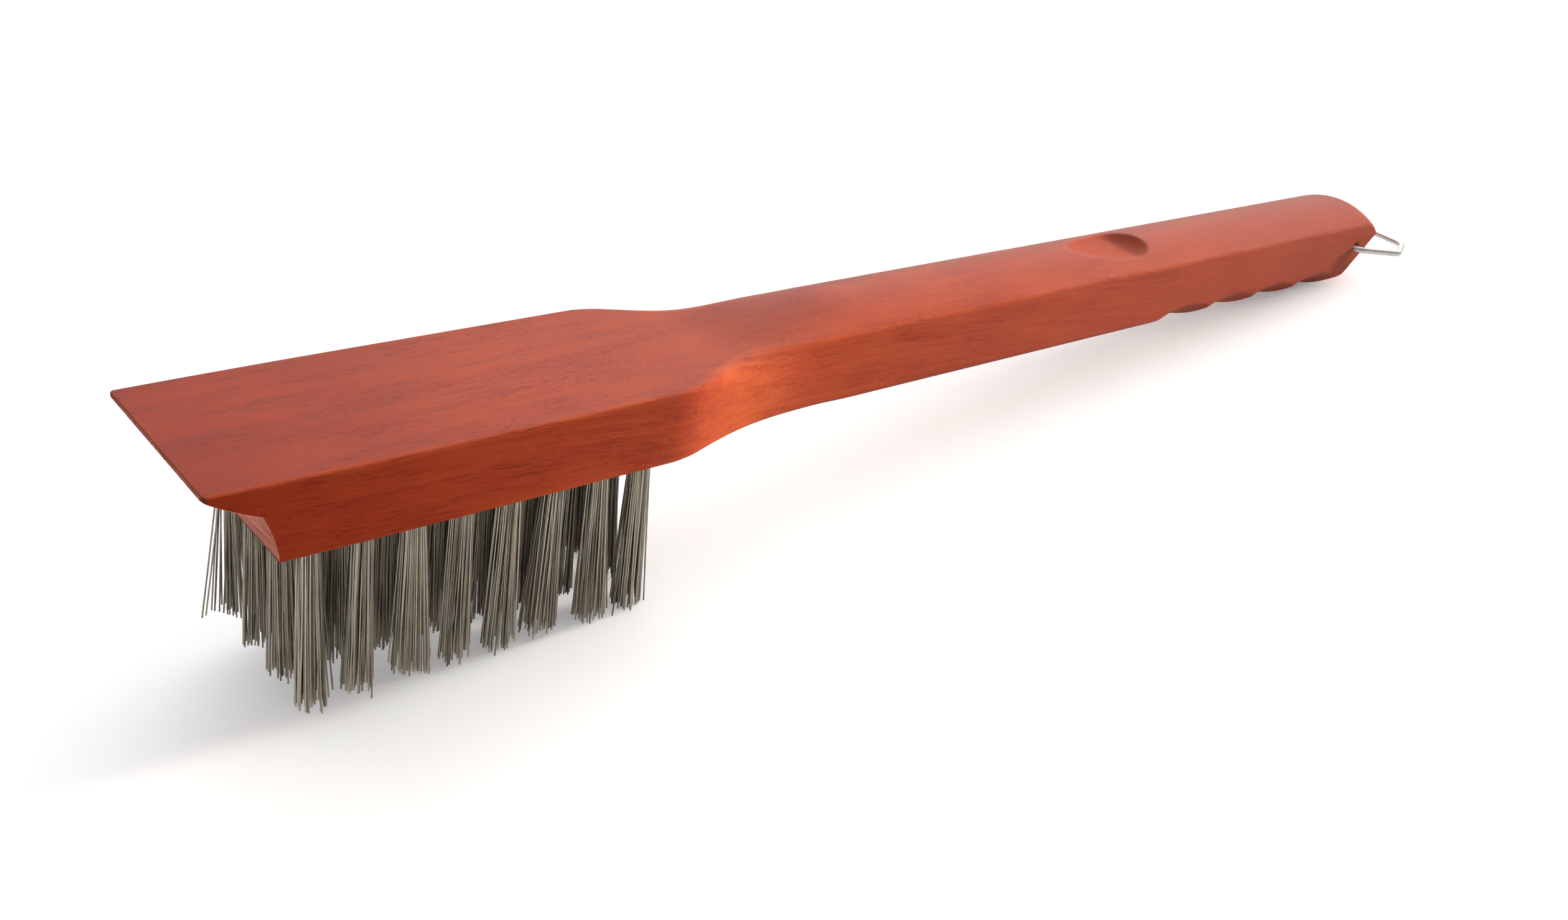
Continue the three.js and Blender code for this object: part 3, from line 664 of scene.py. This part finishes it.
# %% Press the scoop
SCOOP_PLACE, SCOOP_RADIUS, SCOOP_REACH = 305.0, 13.2, 34.0  # mm: middle, back wall, and length of the ramp
SCOOP_DEPTH, SCOOP_FILLET = 3.0, 7.5
SCOOP_MARGIN = 4.0  # round the scoop, sanded with it
HOLLOW = 0.12  # mm pressed in, from which a point counts as part of the scoop

crown_edge = ARRIS_RADIUS * (math.cos(CROWN_SLOPE) - math.tan((math.pi / 2 - CROWN_SLOPE) / 2))
crown_half = HANDLE_HALF - ARRIS_RADIUS * (1 - math.sin(CROWN_SLOPE))
crown_top = crown_edge + crown_rise(crown_half, CROWN_SLOPE, 0)
scoop_slope = math.atan(SCOOP_DEPTH / (SCOOP_REACH + SCOOP_RADIUS))
scoop_middle = Vector((SCOOP_PLACE, 0, crown_top - SCOOP_REACH * math.tan(scoop_slope)))
scoop = Matrix.Translation(scoop_middle) @ Matrix.Rotation(scoop_slope, 4, "Y")
unscoop = scoop.inverted()


def press_scoop(spot):
    local = unscoop @ spot
    lengthwise = local.x if local.x > 0 else local.x * SCOOP_RADIUS / SCOOP_REACH
    reach = math.hypot(lengthwise, local.y)
    if reach >= SCOOP_RADIUS:
        return spot
    floor = fall(SCOOP_FILLET, reach - (SCOOP_RADIUS - SCOOP_FILLET))
    return scoop @ Vector((local.x, local.y, min(local.z, floor)))


hollow_layer = wood.verts.layers.float.new("hollow")
scooped = []
for vert in wood.verts:
    near = -SCOOP_REACH - SCOOP_MARGIN < vert.co.x - SCOOP_PLACE < SCOOP_RADIUS + SCOOP_MARGIN
    if near and around[vert[step_layer]][0] in ("top", "arris"):
        pressed = press_scoop(vert.co)
        vert[hollow_layer] = float((pressed - vert.co).length > HOLLOW)
        vert.co = pressed
        scooped.append(vert)
print("points pressed in:", sum(v[hollow_layer] > 0 for v in scooped))

# %% Sand it, and the ends of the board
SCOOP_PASSES, NOSE_PASSES, TURN_PASSES = 7, 5, 4
NOSE_RINGS, TURN_RINGS = 9, 4  # rings that are sanded at the nose, and on each side of the turn-up


def sand(verts, passes):
    axes = {"use_axis_x": True, "use_axis_y": True, "use_axis_z": True}
    for _ in range(passes):
        bmesh.ops.smooth_vert(wood, verts=verts, factor=0.5, **axes)


def by_turn_up(vert):
    away = abs(vert[ring_layer] - rear_ring - LEVEL_RINGS)
    return away < TURN_RINGS and around[vert[step_layer]][0] in ("under", "foot")


nose = [v for v in wood.verts if v[ring_layer] > rings - NOSE_RINGS]
heel = [v for v in wood.verts if by_turn_up(v)]
sand(scooped, SCOOP_PASSES)
sand(nose, NOSE_PASSES)
sand(heel, TURN_PASSES)
print("points sanded in the scoop, at the nose and at the heel:", len(scooped), len(nose), len(heel))

# %% [markdown]
# ## Where the stain is rubbed thin
# Wear shows on convex edges. How sharply two faces meet, over the distance between their middles, is the
# curvature there. It is kept as an attribute of the points, for the material to read. Another attribute
# marks the sawn faces of the lip and the cove, which took the stain badly. Their pale colour is painted
# lighter still: painted light, for the light that falls on them from the front.

# %% Two more attributes for the wood material
RUB_START, RUB_FULL = 0.3, 1.3  # per mm: a radius of about 3 mm to one of less than 1 mm
EDGE_RUB, NECK_RUB = 0.4, 0.6  # of edges at most, and of the neck, which was sanded most
LEAST_APART = 0.05  # mm, between the middles of two faces
EDGE_SAWN = 0.6  # of the scraper edge itself, which is painted lighter too, as painted light on that small face

rubbed_layer = wood.verts.layers.float.new("rubbed")
sawn_layer = wood.verts.layers.float.new("sawn")
for edge in wood.edges:
    if len(edge.link_faces) == 2:
        first, second = (face.calc_center_median() for face in edge.link_faces)
        curve = edge.calc_face_angle_signed(0.0) / max((first - second).length, LEAST_APART)
        rub = EDGE_RUB * min(1.0, max(0.0, (curve - RUB_START) / (RUB_FULL - RUB_START)))
        for vert in edge.verts:
            vert[rubbed_layer] = max(vert[rubbed_layer], rub)
for vert in wood.verts:
    kind = around[vert[step_layer]][0]
    if kind in ("arris", "flank", "foot"):
        vert[rubbed_layer] = max(vert[rubbed_layer], NECK_RUB * neck_swell(vert.co.x))
    if kind in ("under", "foot") and 0 < vert[ring_layer] < LIP_RINGS + COVE_RINGS - 1:
        vert[sawn_layer] = 1.0
    if kind in ("top", "arris") and vert[ring_layer] <= 1:
        vert[sawn_layer] = EDGE_SAWN
print("points rubbed:", sum(v[rubbed_layer] > 0 for v in wood.verts))

# %% [markdown]
# ## From a bmesh to a piece
# A finished piece is a mesh whose points are where they belong in the room, on an object that stays at the
# origin. It rides on a body of the frame, takes its material, and stands for the solids it hides.

# %% Helpers for objects and pieces
SHARP = math.radians(42)  # edges that turn more than this are not shaded smooth


def object_from(shape, name, material):
    mesh = bpy.data.meshes.new(name)
    shape.to_mesh(mesh)
    shape.free()
    mesh.materials.append(material)
    made = bpy.data.objects.new(name, mesh)
    scene.collection.objects.link(made)
    return made


def piece_from(shape, name, place, material, body, slot, *stands_for):
    bmesh.ops.transform(shape, matrix=place, verts=shape.verts)
    piece = object_from(shape, name, material)
    piece.data.shade_smooth()
    piece.data.set_sharp_from_angle(angle=SHARP)
    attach(piece, body)
    if stands_for:
        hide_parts(*stands_for)
    print(name, "has", len(piece.data.vertices), "points and", len(piece.data.polygons), "faces")
    return piece


# %% [markdown]
# ## Drilling
# Thirty-two blind holes take the tufts, and one hole across the end takes the loop. Each drill is a disc
# that is extruded upwards ring by ring, with a wider mouth so that the rim of the hole is broken. All the
# drills are one mesh, and one boolean cuts the lot.

# %% Drills
ROWS, COLUMNS = 4, 8
ROW_PITCH, COLUMN_PITCH, FIRST_COLUMN = 12.2, 12.0, 24.0
HOLE_RADIUS, HOLE_DEPTH, HOLE_SIDES = 2.6, 11.0, 24
LOOP_HOLE_RADIUS, LOOP_HOLE_LIFT, LOOP_HOLE_SIDES = 1.9, 0.5, 32
RIM, FLARE, OVERSHOOT = 0.3, 1.3, 1.0  # depth of a broken rim, and how far and where the drill is wider


def turned(shape, sides, profile):
    """A turned solid along Z through (height, radius) pairs."""
    height, radius = profile[0]
    start = bmesh.ops.create_circle(shape, cap_ends=True, segments=sides, radius=radius)["verts"]
    bmesh.ops.translate(shape, verts=start, vec=(0, 0, height))
    verts, loop = list(start), list({e for v in start for e in v.link_edges})
    for next_height, next_radius in profile[1:]:
        made = bmesh.ops.extrude_edge_only(shape, edges=loop)["geom"]
        ring = [v for v in made if isinstance(v, bmesh.types.BMVert)]
        loop = [e for e in made if isinstance(e, bmesh.types.BMEdge) and all(v in ring for v in e.verts)]
        widen = next_radius / radius
        bmesh.ops.scale(shape, verts=ring, vec=(widen, widen, 1))
        bmesh.ops.translate(shape, verts=ring, vec=(0, 0, next_height - height))
        height, radius = next_height, next_radius
        verts += ring
    bmesh.ops.contextual_create(shape, geom=loop)
    return verts


tuft_places = [
    (row, column, FIRST_COLUMN + column * COLUMN_PITCH, (row - (ROWS - 1) / 2) * ROW_PITCH)
    for row in range(ROWS)
    for column in range(COLUMNS)
]
drills = bmesh.new()
for _, _, x, y in tuft_places:
    blind = [(-OVERSHOOT, HOLE_RADIUS + FLARE), (RIM, HOLE_RADIUS), (HOLE_DEPTH, HOLE_RADIUS)]
    drill = turned(drills, HOLE_SIDES, blind)
    bmesh.ops.translate(drills, verts=drill, vec=(x, y, -THICKNESS))
cross = [
    (-HANDLE_HALF - OVERSHOOT, LOOP_HOLE_RADIUS + FLARE),
    (RIM - HANDLE_HALF, LOOP_HOLE_RADIUS),
    (HANDLE_HALF - RIM, LOOP_HOLE_RADIUS),
    (HANDLE_HALF + OVERSHOOT, LOOP_HOLE_RADIUS + FLARE),
]
drill = turned(drills, LOOP_HOLE_SIDES, cross)
bmesh.ops.rotate(drills, verts=drill, matrix=Matrix.Rotation(math.pi / 2, 3, "X"))
bmesh.ops.translate(drills, verts=drill, vec=PIVOT + Vector((0, 0, LOOP_HOLE_LIFT)))
bmesh.ops.recalc_face_normals(drills, faces=drills.faces)
print("drills:", len(tuft_places) + 1)

# %% Make the wood and drill it
wooden_body = piece_from(
    wood, "stained_board", to_room, stained_wood, "brush", "stained_wood", "wooden_body"
)
bmesh.ops.transform(drills, matrix=to_room, verts=drills.verts)
drill_set = object_from(drills, "drills", stained_wood)
cutting = wooden_body.modifiers.new("holes", "BOOLEAN")
cutting.operation = "DIFFERENCE"
cutting.solver = "EXACT"
cutting.object = drill_set
bpy.context.view_layer.objects.active = wooden_body
bpy.ops.object.modifier_apply(modifier="holes")
bpy.data.objects.remove(drill_set)
drilled = wooden_body.data
drilled.set_sharp_from_angle(angle=SHARP)
drilled.calc_loop_triangles()
print("drilled board:", len(drilled.loop_triangles), "triangles")

# %% [markdown]
# ## Bristle wire
# The bristles are drawn stainless wire, about 0.4 mm thick, in a warm grey. A drawn wire has fine lines
# along its length and a dull shine. Every wire is a slightly different grey, since each lies to the light
# in its own way and some are tarnished, so each gets a tone of its own, kept as an attribute. The wires of
# the rows behind the nearest one get darker tones: painted shade.

# %% Build the bristle material
LINE_PITCH, LINE_LENGTH = 0.08, 9.0  # mm, drawing lines; drawn twice as wide as they are, to show
LINE_DEPTH = 0.00002  # m
TARNISH, TARNISH_SHARE = 5.0, 0.5  # mm, size of a tarnished spot, and what it adds to a wire's tone
WIRE_TONES = (0.15, 1.25)  # the range of that sum, from dark to bright

bristle_steel, tree = new_material("drawn_stainless_wire")
place = add(tree, "ShaderNodeTexCoord", output="Object")
bench = add(tree, "ShaderNodeMapping", {**to_bench, "Vector": place})
per_line = (1 / LINE_PITCH, 1 / LINE_PITCH, 1 / LINE_LENGTH)
units = add(tree, "ShaderNodeVectorMath", (bench, per_line), operation="MULTIPLY")
lines = add(tree, "ShaderNodeTexNoise", {"Vector": units, "Scale": 1.0, "Detail": 2.0})
tarnish = add(tree, "ShaderNodeTexNoise", {"Vector": bench, "Scale": 1 / TARNISH, "Detail": 3.0})
tone = add(tree, "ShaderNodeAttribute", output="Fac", attribute_name="wire_tone_and_shade")
mixed = add(tree, "ShaderNodeMath", (tarnish, TARNISH_SHARE, tone), operation="MULTIPLY_ADD")
shade = add(tree, "ShaderNodeMapRange", (mixed, *WIRE_TONES))
greys = {0: shade, 6: linear("#675f53"), 7: linear("#d0c7b4")}
grey = add(tree, "ShaderNodeMix", greys, output=2, data_type="RGBA")
dull = add(tree, "ShaderNodeMapRange", {"Value": lines, "To Min": 0.2, "To Max": 0.4})
bump = add(tree, "ShaderNodeBump", {"Height": lines, "Strength": 0.25, "Distance": LINE_DEPTH})
finish = {"Base Color": grey, "Metallic": 1.0, "Roughness": dull, "Normal": bump}
wire = add(tree, "ShaderNodeBsdfPrincipled", finish)
add(tree, "ShaderNodeOutputMaterial", {"Surface": wire})
print("bristle nodes:", len(tree.nodes))

# %% [markdown]
# ## Tufts
# A tuft is a bundle of wires folded in half over its anchor and driven into a hole, so that two half
# bundles stand side by side with a thin gap between them. They fan out towards their tips, a few wires lean
# across the others, and no two tips are level. Each wire is a copy of one six-sided rod, bent along its own
# line. A seed keeps every run the same.

# %% One rod to copy
WIRE_RADIUS, WIRE_SIDES, WIRE_BENDS = 0.195, 6, 3
rod = bmesh.new()
radii = {"radius1": WIRE_RADIUS, "radius2": WIRE_RADIUS}
bmesh.ops.create_cone(rod, cap_ends=True, cap_tris=False, segments=WIRE_SIDES, depth=1.0, **radii)
bmesh.ops.translate(rod, verts=rod.verts, vec=(0, 0, 0.5))
long_edges = [e for e in rod.edges if abs(e.verts[0].co.z - e.verts[1].co.z) > 0.5]
bmesh.ops.subdivide_edges(rod, edges=long_edges, cuts=WIRE_BENDS)
bmesh.ops.reverse_faces(rod, faces=rod.faces)  # it will hang head down, which turns them out again
rod_mesh = bpy.data.meshes.new("rod")
rod.to_mesh(rod_mesh)
rod.free()
print("a rod has", len(rod_mesh.polygons), "faces")

# %% Where the wires of a tuft stand in their hole
WIRE_SPACING = 0.52
FOLD_GAP = 0.95  # between the two halves of a bundle
HOLE_CLEARANCE = 0.04
MOST_WIRES = 6  # that fit beside each other in half a hole


def bundle_roots():
    roots = []
    limit = HOLE_RADIUS - WIRE_RADIUS - HOLE_CLEARANCE
    lift = WIRE_SPACING * math.sin(math.radians(60))
    for side in (-1, 1):
        for layer in range(MOST_WIRES):
            across = FOLD_GAP / 2 + layer * lift
            for k in range(-MOST_WIRES, MOST_WIRES + 1):
                y = (k + 0.5 * (layer % 2)) * WIRE_SPACING
                if math.hypot(across, y) <= limit:
                    roots.append((side, side * across, y))
    return roots


print("wires in a tuft:", len(bundle_roots()))

# %% [markdown]
# The tufts of the nearest row show best, so their lean is taken from the photograph. The others lean by
# chance. A spread is the width of a tuft at its tips over that at its root.

# %% How tufts lean and wires stray, mm at the tips
NEAR_LEAN = (1.2, 1.2, 2.3, 0.8, 0.5, 1.0, 2.6, 2.4)  # along the brush
NEAR_SPREAD = (1.35, 1.45, 1.75, 1.5, 1.7, 1.55, 1.5, 1.6)
LEAN, SPREAD = (1.2, 0.9), (1.35, 1.75)  # of the others: middle and deviation, least and most
BEHIND_LAST, BEHIND_LEAN = (1, 7), 3.4  # a tuft that shows between the last two of the near row
HALF_LEAN, HALF_DEVIATION, SIDE_DEVIATION = 0.3, 0.3, 0.6  # of half a bundle, along and across
STRAY, WILD_STRAY, WILD_SHARE = 0.42, 1.5, 0.06  # of most wires, of wild ones, and the share of those
FAR_CORNER = (ROWS - 1, 0)  # in this tuft the front wires stray further
FRONT_WIRES, FRONT_STRAY, FRONT_SWING = -1.5, (-5.5, 0.5), (-0.5, 2)
BOW = 0.16  # deviation of a wire's middle from a straight line
BRISTLE_LENGTH, OVERLENGTH = 42.5, 0.4
TIP_UNEVENNESS, MOST_SHORT = 1.3, 4.0
IN_HOLE = 6.0
INNER_ROW_SHADE = 0.55  # painted shade: wires of the other rows, in the shade of the nearest one, are darker
LEAST_GAP = 0.1 * MM  # between the tips and the floor
SEED = 20


# %% Bend the wires of one row of tufts
def row_of_tufts(row):
    rng = random.Random(SEED + row)
    shape = bmesh.new()
    tone_layer = shape.verts.layers.float.new("wire_tone_and_shade")
    done = 0
    for place_row, column, x, y in tuft_places:
        if place_row != row:
            continue
        tuft_lean = NEAR_LEAN[column] if row == 0 else rng.gauss(*LEAN)
        if (row, column) == BEHIND_LAST:
            tuft_lean = BEHIND_LEAN
        spread = NEAR_SPREAD[column] if row == 0 else rng.uniform(*SPREAD)
        lean = {
            side: (tuft_lean + rng.gauss(HALF_LEAN * side, HALF_DEVIATION), rng.gauss(0, SIDE_DEVIATION))
            for side in (-1, 1)
        }
        for side, off_x, off_y in bundle_roots():
            root = Vector((x + off_x, y + off_y, -THICKNESS + IN_HOLE))
            stray = rng.gauss(0, STRAY), rng.gauss(0, STRAY)
            if rng.random() < WILD_SHARE:
                stray = rng.gauss(0, WILD_STRAY), rng.gauss(0, WILD_STRAY)
            if (row, column) == FAR_CORNER and off_x < FRONT_WIRES:
                stray = rng.uniform(*FRONT_STRAY), rng.uniform(*FRONT_SWING)
            length = BRISTLE_LENGTH + OVERLENGTH - min(MOST_SHORT, abs(rng.gauss(0, TIP_UNEVENNESS)))
            tip_x = x + off_x * spread + lean[side][0] + stray[0]
            tip_y = y + off_y * spread + lean[side][1] + stray[1]
            tip = Vector((tip_x, tip_y, -THICKNESS - length))
            high, gap = (to_room @ root).z, (to_room @ tip).z
            if gap < LEAST_GAP:
                tip = root.lerp(tip, (high - LEAST_GAP) / (high - gap))
            bow = Vector((rng.gauss(0, BOW), rng.gauss(0, BOW), 0))
            # painted shade: the inner rows take darker tones
            tone = rng.random() * (1.0 if row == 0 else INNER_ROW_SHADE)
            shape.from_mesh(rod_mesh)
            shape.verts.ensure_lookup_table()
            for k in range(done, len(shape.verts)):
                vert = shape.verts[k]
                share = vert.co.z
                flat = Vector((vert.co.x, vert.co.y, 0))
                vert.co = root.lerp(tip, share) + bow * (4 * share * (1 - share)) + flat
                vert[tone_layer] = tone
            done = len(shape.verts)
    return shape


for row in range(ROWS):
    name, solid = f"tufts_{row + 1}", f"bristle_row_{row + 1}"
    piece_from(row_of_tufts(row), name, to_room, bristle_steel, "brush", "bristle_steel", solid)

# %% [markdown]
# ## Hanging loop
# The loop is thick satin steel wire with sharp shop-made bends: two short ends that turn in the hole, two
# legs that lean out, two that lean in, and a straight crossbar. It is made as it would be in the shop: a
# disc is extruded along each straight run and spun round the middle of each bend.

# %% Build the loop material
MARK_LENGTH, MARK_WIDTH, CLOUD = 2.5 * MM, 0.3 * MM, 4 * MM  # scuffs along the wire, and tarnish
MARK_DEPTH = 0.00003  # m

loop_steel, tree = new_material("satin_steel_wire")
place = add(tree, "ShaderNodeTexCoord", output="Object")
per_mark = (1 / MARK_LENGTH, 1 / MARK_WIDTH, 1 / MARK_WIDTH)
units = add(tree, "ShaderNodeVectorMath", (place, per_mark), operation="MULTIPLY")
marks = add(tree, "ShaderNodeTexNoise", {"Vector": units, "Scale": 1.0, "Detail": 3.0})
cloud = add(tree, "ShaderNodeTexNoise", {"Vector": place, "Scale": 1 / CLOUD, "Detail": 2.0})
greys = {0: cloud, 6: linear("#b4b1ad"), 7: linear("#dcd8d3")}
grey = add(tree, "ShaderNodeMix", greys, output=2, data_type="RGBA")
dull = add(tree, "ShaderNodeMapRange", {"Value": marks, "To Min": 0.32, "To Max": 0.5})
bump = add(tree, "ShaderNodeBump", {"Height": marks, "Strength": 0.2, "Distance": MARK_DEPTH})
finish = {"Base Color": grey, "Metallic": 1.0, "Roughness": dull, "Normal": bump}
satin = add(tree, "ShaderNodeBsdfPrincipled", finish)
add(tree, "ShaderNodeOutputMaterial", {"Surface": satin})
print("loop nodes:", len(tree.nodes))

# %% Sizes of the loop, mm from its hinge
LOOP_WIRE_RADIUS, LOOP_WIRE_SIDES, BEND_STEPS = 1.1, 20, 10
PIN_END, LEG, SHOULDER, CROSSBAR = (0, 5.6), (0, 16.2), (20.5, 21.7), (37.5, 14.4)
BEND_START = 2.4  # from a corner to where its bend starts
LOOP_DROOP = math.radians(5.2)  # below the board's length
half_loop = [Vector((*p, 0)) for p in (PIN_END, LEG, SHOULDER, CROSSBAR)]
corners = half_loop + [Vector((p.x, -p.y, 0)) for p in reversed(half_loop)]
droop = tilt + LOOP_DROOP
print("the loop droops by", round(math.degrees(droop), 2), "degrees in the room")

# %% Bend the wire
loop = bmesh.new()
disc = bmesh.ops.create_circle(loop, cap_ends=True, segments=LOOP_WIRE_SIDES, radius=LOOP_WIRE_RADIUS)
bmesh.ops.rotate(loop, verts=disc["verts"], matrix=Matrix.Rotation(math.pi / 2, 3, "X"))
bmesh.ops.translate(loop, verts=disc["verts"], vec=corners[0])
edges = list(loop.edges)
spot = corners[0]
for before, corner, after in zip(corners, corners[1:], corners[2:] + [None]):
    way = (corner - before).normalized()
    stop = corner - way * BEND_START if after else corner
    made = bmesh.ops.extrude_edge_only(loop, edges=edges)["geom"]
    ring = [v for v in made if isinstance(v, bmesh.types.BMVert)]
    edges = [e for e in made if isinstance(e, bmesh.types.BMEdge) and all(v in ring for v in e.verts)]
    bmesh.ops.translate(loop, verts=ring, vec=stop - spot)
    spot = stop
    if after:
        next_way = (after - corner).normalized()
        turn = math.atan2(way.cross(next_way).z, way.dot(next_way))
        radius = BEND_START / math.tan(abs(turn) / 2)
        middle = stop + Vector((-way.y, way.x, 0)) * math.copysign(radius, turn)
        bend = {"cent": middle, "axis": (0, 0, 1), "angle": turn, "steps": BEND_STEPS}
        made = bmesh.ops.spin(loop, geom=edges, use_merge=False, **bend)["geom_last"]
        edges = [e for e in made if isinstance(e, bmesh.types.BMEdge)]
        spot = corner + next_way * BEND_START
bmesh.ops.contextual_create(loop, geom=edges)
bmesh.ops.recalc_face_normals(loop, faces=loop.faces)
loop_place = hinge_place @ Matrix.Rotation(droop, 4, "Y") @ Matrix.Scale(MM, 4)
piece_from(loop, "wire_loop", loop_place, loop_steel, "loop", "loop_steel", "hanging_loop")

# %% [markdown]
# ## Anchors
# Inside each hole a short flat wire holds the fold. They are hidden, so the solids stay as they are and
# only get the plain steel they are made of.

# %% Dress the anchors
GRIT = 0.4 * MM

anchor_steel, tree = new_material("flat_steel_wire")
place = add(tree, "ShaderNodeTexCoord", output="Object")
grit = add(tree, "ShaderNodeTexNoise", {"Vector": place, "Scale": 1 / GRIT, "Detail": 2.0})
greys = {0: grit, 6: linear("#7c7b78"), 7: linear("#a3a29e")}
grey = add(tree, "ShaderNodeMix", greys, output=2, data_type="RGBA")
dull = add(tree, "ShaderNodeMapRange", {"Value": grit, "To Min": 0.4, "To Max": 0.55})
finish = {"Base Color": grey, "Metallic": 1.0, "Roughness": dull}
plain = add(tree, "ShaderNodeBsdfPrincipled", finish)
add(tree, "ShaderNodeOutputMaterial", {"Surface": plain})
anchors = [node for name, node in frame["nodes"].items() if name.startswith("anchor_")]
for node in anchors:
    for slot in node.material_slots:
        slot.material = anchor_steel
print("anchors dressed:", len(anchors))

# %% [markdown]
# ## Studio
# The brush stands on a pale matt sheet, with a bright soft backdrop behind it, a large soft light overhead
# and a narrow warm beam along the board. For the camera the sheet and the world are lifted to white, so
# that no horizon shows. The light that falls on the brush, and what its wires mirror, stays at a plain
# level, and the sheet keeps the soft shadow.

# %% World
SKY_SHADE, SKY_GLOW = 0.2, 2.3  # in front of the brush, and in the middle of the lit backdrop
GLOW_FROM = Vector((0.65, 0.63, 0.44))  # where that backdrop is
GLOW_EDGE, GLOW_FULL = 0.25, 0.97  # cosines of the angles from its middle, where it starts and is full


def seen_directly(tree):
    """1 for rays from the camera and through glass, 0 for light that falls on things and for reflections."""
    kinds = ("Is Camera Ray", "Is Transmission Ray")
    rays = [add(tree, "ShaderNodeLightPath", output=kind) for kind in kinds]
    return add(tree, "ShaderNodeMath", rays, operation="MAXIMUM")


world = bpy.data.worlds.new("white_studio")
scene.world = world
world.use_nodes = True
tree = world.node_tree
tree.nodes.clear()
way = add(tree, "ShaderNodeTexCoord", output="Generated")
from_glow = (way, GLOW_FROM.normalized())
facing = add(tree, "ShaderNodeVectorMath", from_glow, output="Value", operation="DOT_PRODUCT")
level = add(tree, "ShaderNodeMapRange", (facing, GLOW_EDGE, GLOW_FULL, SKY_SHADE, SKY_GLOW))
white = add(tree, "ShaderNodeBackground", {"Color": linear("#ffffff"), "Strength": 1.0})
ambient = add(tree, "ShaderNodeBackground", {"Color": linear("#ffffff"), "Strength": level})
sky = add(tree, "ShaderNodeMixShader", (seen_directly(tree), ambient, white))
add(tree, "ShaderNodeOutputWorld", {"Surface": sky})
print("sky nodes:", len(tree.nodes))

# %% Floor
FLOOR_REACH = 6.0  # m
FLOOR_LIFT = 0.26  # near the brush
FADE_START, FADE_END = 0.6, 2.0  # m from the brush, between which the sheet is lifted to full white

paper, tree = new_material("white_paper")
matt = add(tree, "ShaderNodeBsdfDiffuse", {"Color": linear("#e8e8e8")})
spot = add(tree, "ShaderNodeTexCoord", output="Object")
away = add(tree, "ShaderNodeVectorMath", (spot,), output="Value", operation="LENGTH")
rise = add(tree, "ShaderNodeMapRange", (away, FADE_START, FADE_END, FLOOR_LIFT, 1.0))
lift = add(tree, "ShaderNodeMath", (seen_directly(tree), rise), operation="MULTIPLY")
glow = add(tree, "ShaderNodeEmission", {"Color": linear("#ffffff"), "Strength": lift})
lifted = add(tree, "ShaderNodeAddShader", (matt, glow))
add(tree, "ShaderNodeOutputMaterial", {"Surface": lifted})

sheet = bmesh.new()
bmesh.ops.create_grid(sheet, x_segments=1, y_segments=1, size=FLOOR_REACH)
floor = object_from(sheet, "floor", paper)
floor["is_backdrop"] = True
print("floor, m:", [round(side, 2) for side in floor.dimensions])


# %% Lights
def soft_light(name, place, target, width, height, power, colour, spread=180):
    data = bpy.data.lights.new(name, "AREA")
    data.shape = "RECTANGLE"
    data.size, data.size_y = width, height
    data.energy = power
    data.spread = math.radians(spread)
    data.color = linear(colour)[:3]
    lamp = bpy.data.objects.new(name, data)
    lamp.location = place
    lamp.rotation_euler = (Vector(target) - Vector(place)).to_track_quat("-Z", "Y").to_euler()
    scene.collection.objects.link(lamp)
    print(name, "lamp:", power, "W")
    return lamp


soft_light("overhead", (-0.05, 0.0, 1.6), (-0.05, 0, 0), 2.4, 2.0, 11.0, "#ffffff")
beam = soft_light("right", (1.0, -0.25, 0.14), (-0.18, 0, 0.05), 0.16, 0.16, 0.5, "#fff6ec", spread=16)
beam.visible_glossy = False  # it stands for a large pale wall, which leaves no glint

# %% [markdown]
# ## Camera
# The camera stands in front of the scraper edge, to the left of the brush and above it, and looks along the
# handle, a little rolled. Its place and turn were found by fitting the board's straight edges and the even
# spacing of the tufts.

# %% Camera at the viewing angle of the photograph
CAMERA_PLACE = Vector((-0.31745, -0.26982, 0.2524))
CAMERA_TARGET = Vector((-0.0572, 0.00837, 0))  # on the floor, under the neck
CAMERA_ROLL = math.radians(5.637)
CAMERA_LENS, SENSOR_WIDTH = 36.25, 36.0  # mm

camera_data = bpy.data.cameras.new("camera")
camera_data.lens = CAMERA_LENS
camera_data.sensor_width = SENSOR_WIDTH
camera_data.clip_start, camera_data.clip_end = 0.01, 50.0
camera = bpy.data.objects.new("camera", camera_data)
scene.collection.objects.link(camera)
aim = (CAMERA_TARGET - CAMERA_PLACE).to_track_quat("-Z", "Y").to_matrix().to_4x4()
camera.matrix_world = Matrix.Translation(CAMERA_PLACE) @ aim @ Matrix.Rotation(CAMERA_ROLL, 4, "Z")
scene.camera = camera
print("camera looks along", [round(c, 4) for c in aim @ Vector((0, 0, -1))])

# %% The box of the dressed brush
low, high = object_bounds()
print("box of the dressed brush, m:", [round(c, 4) for c in (*low, *high)])
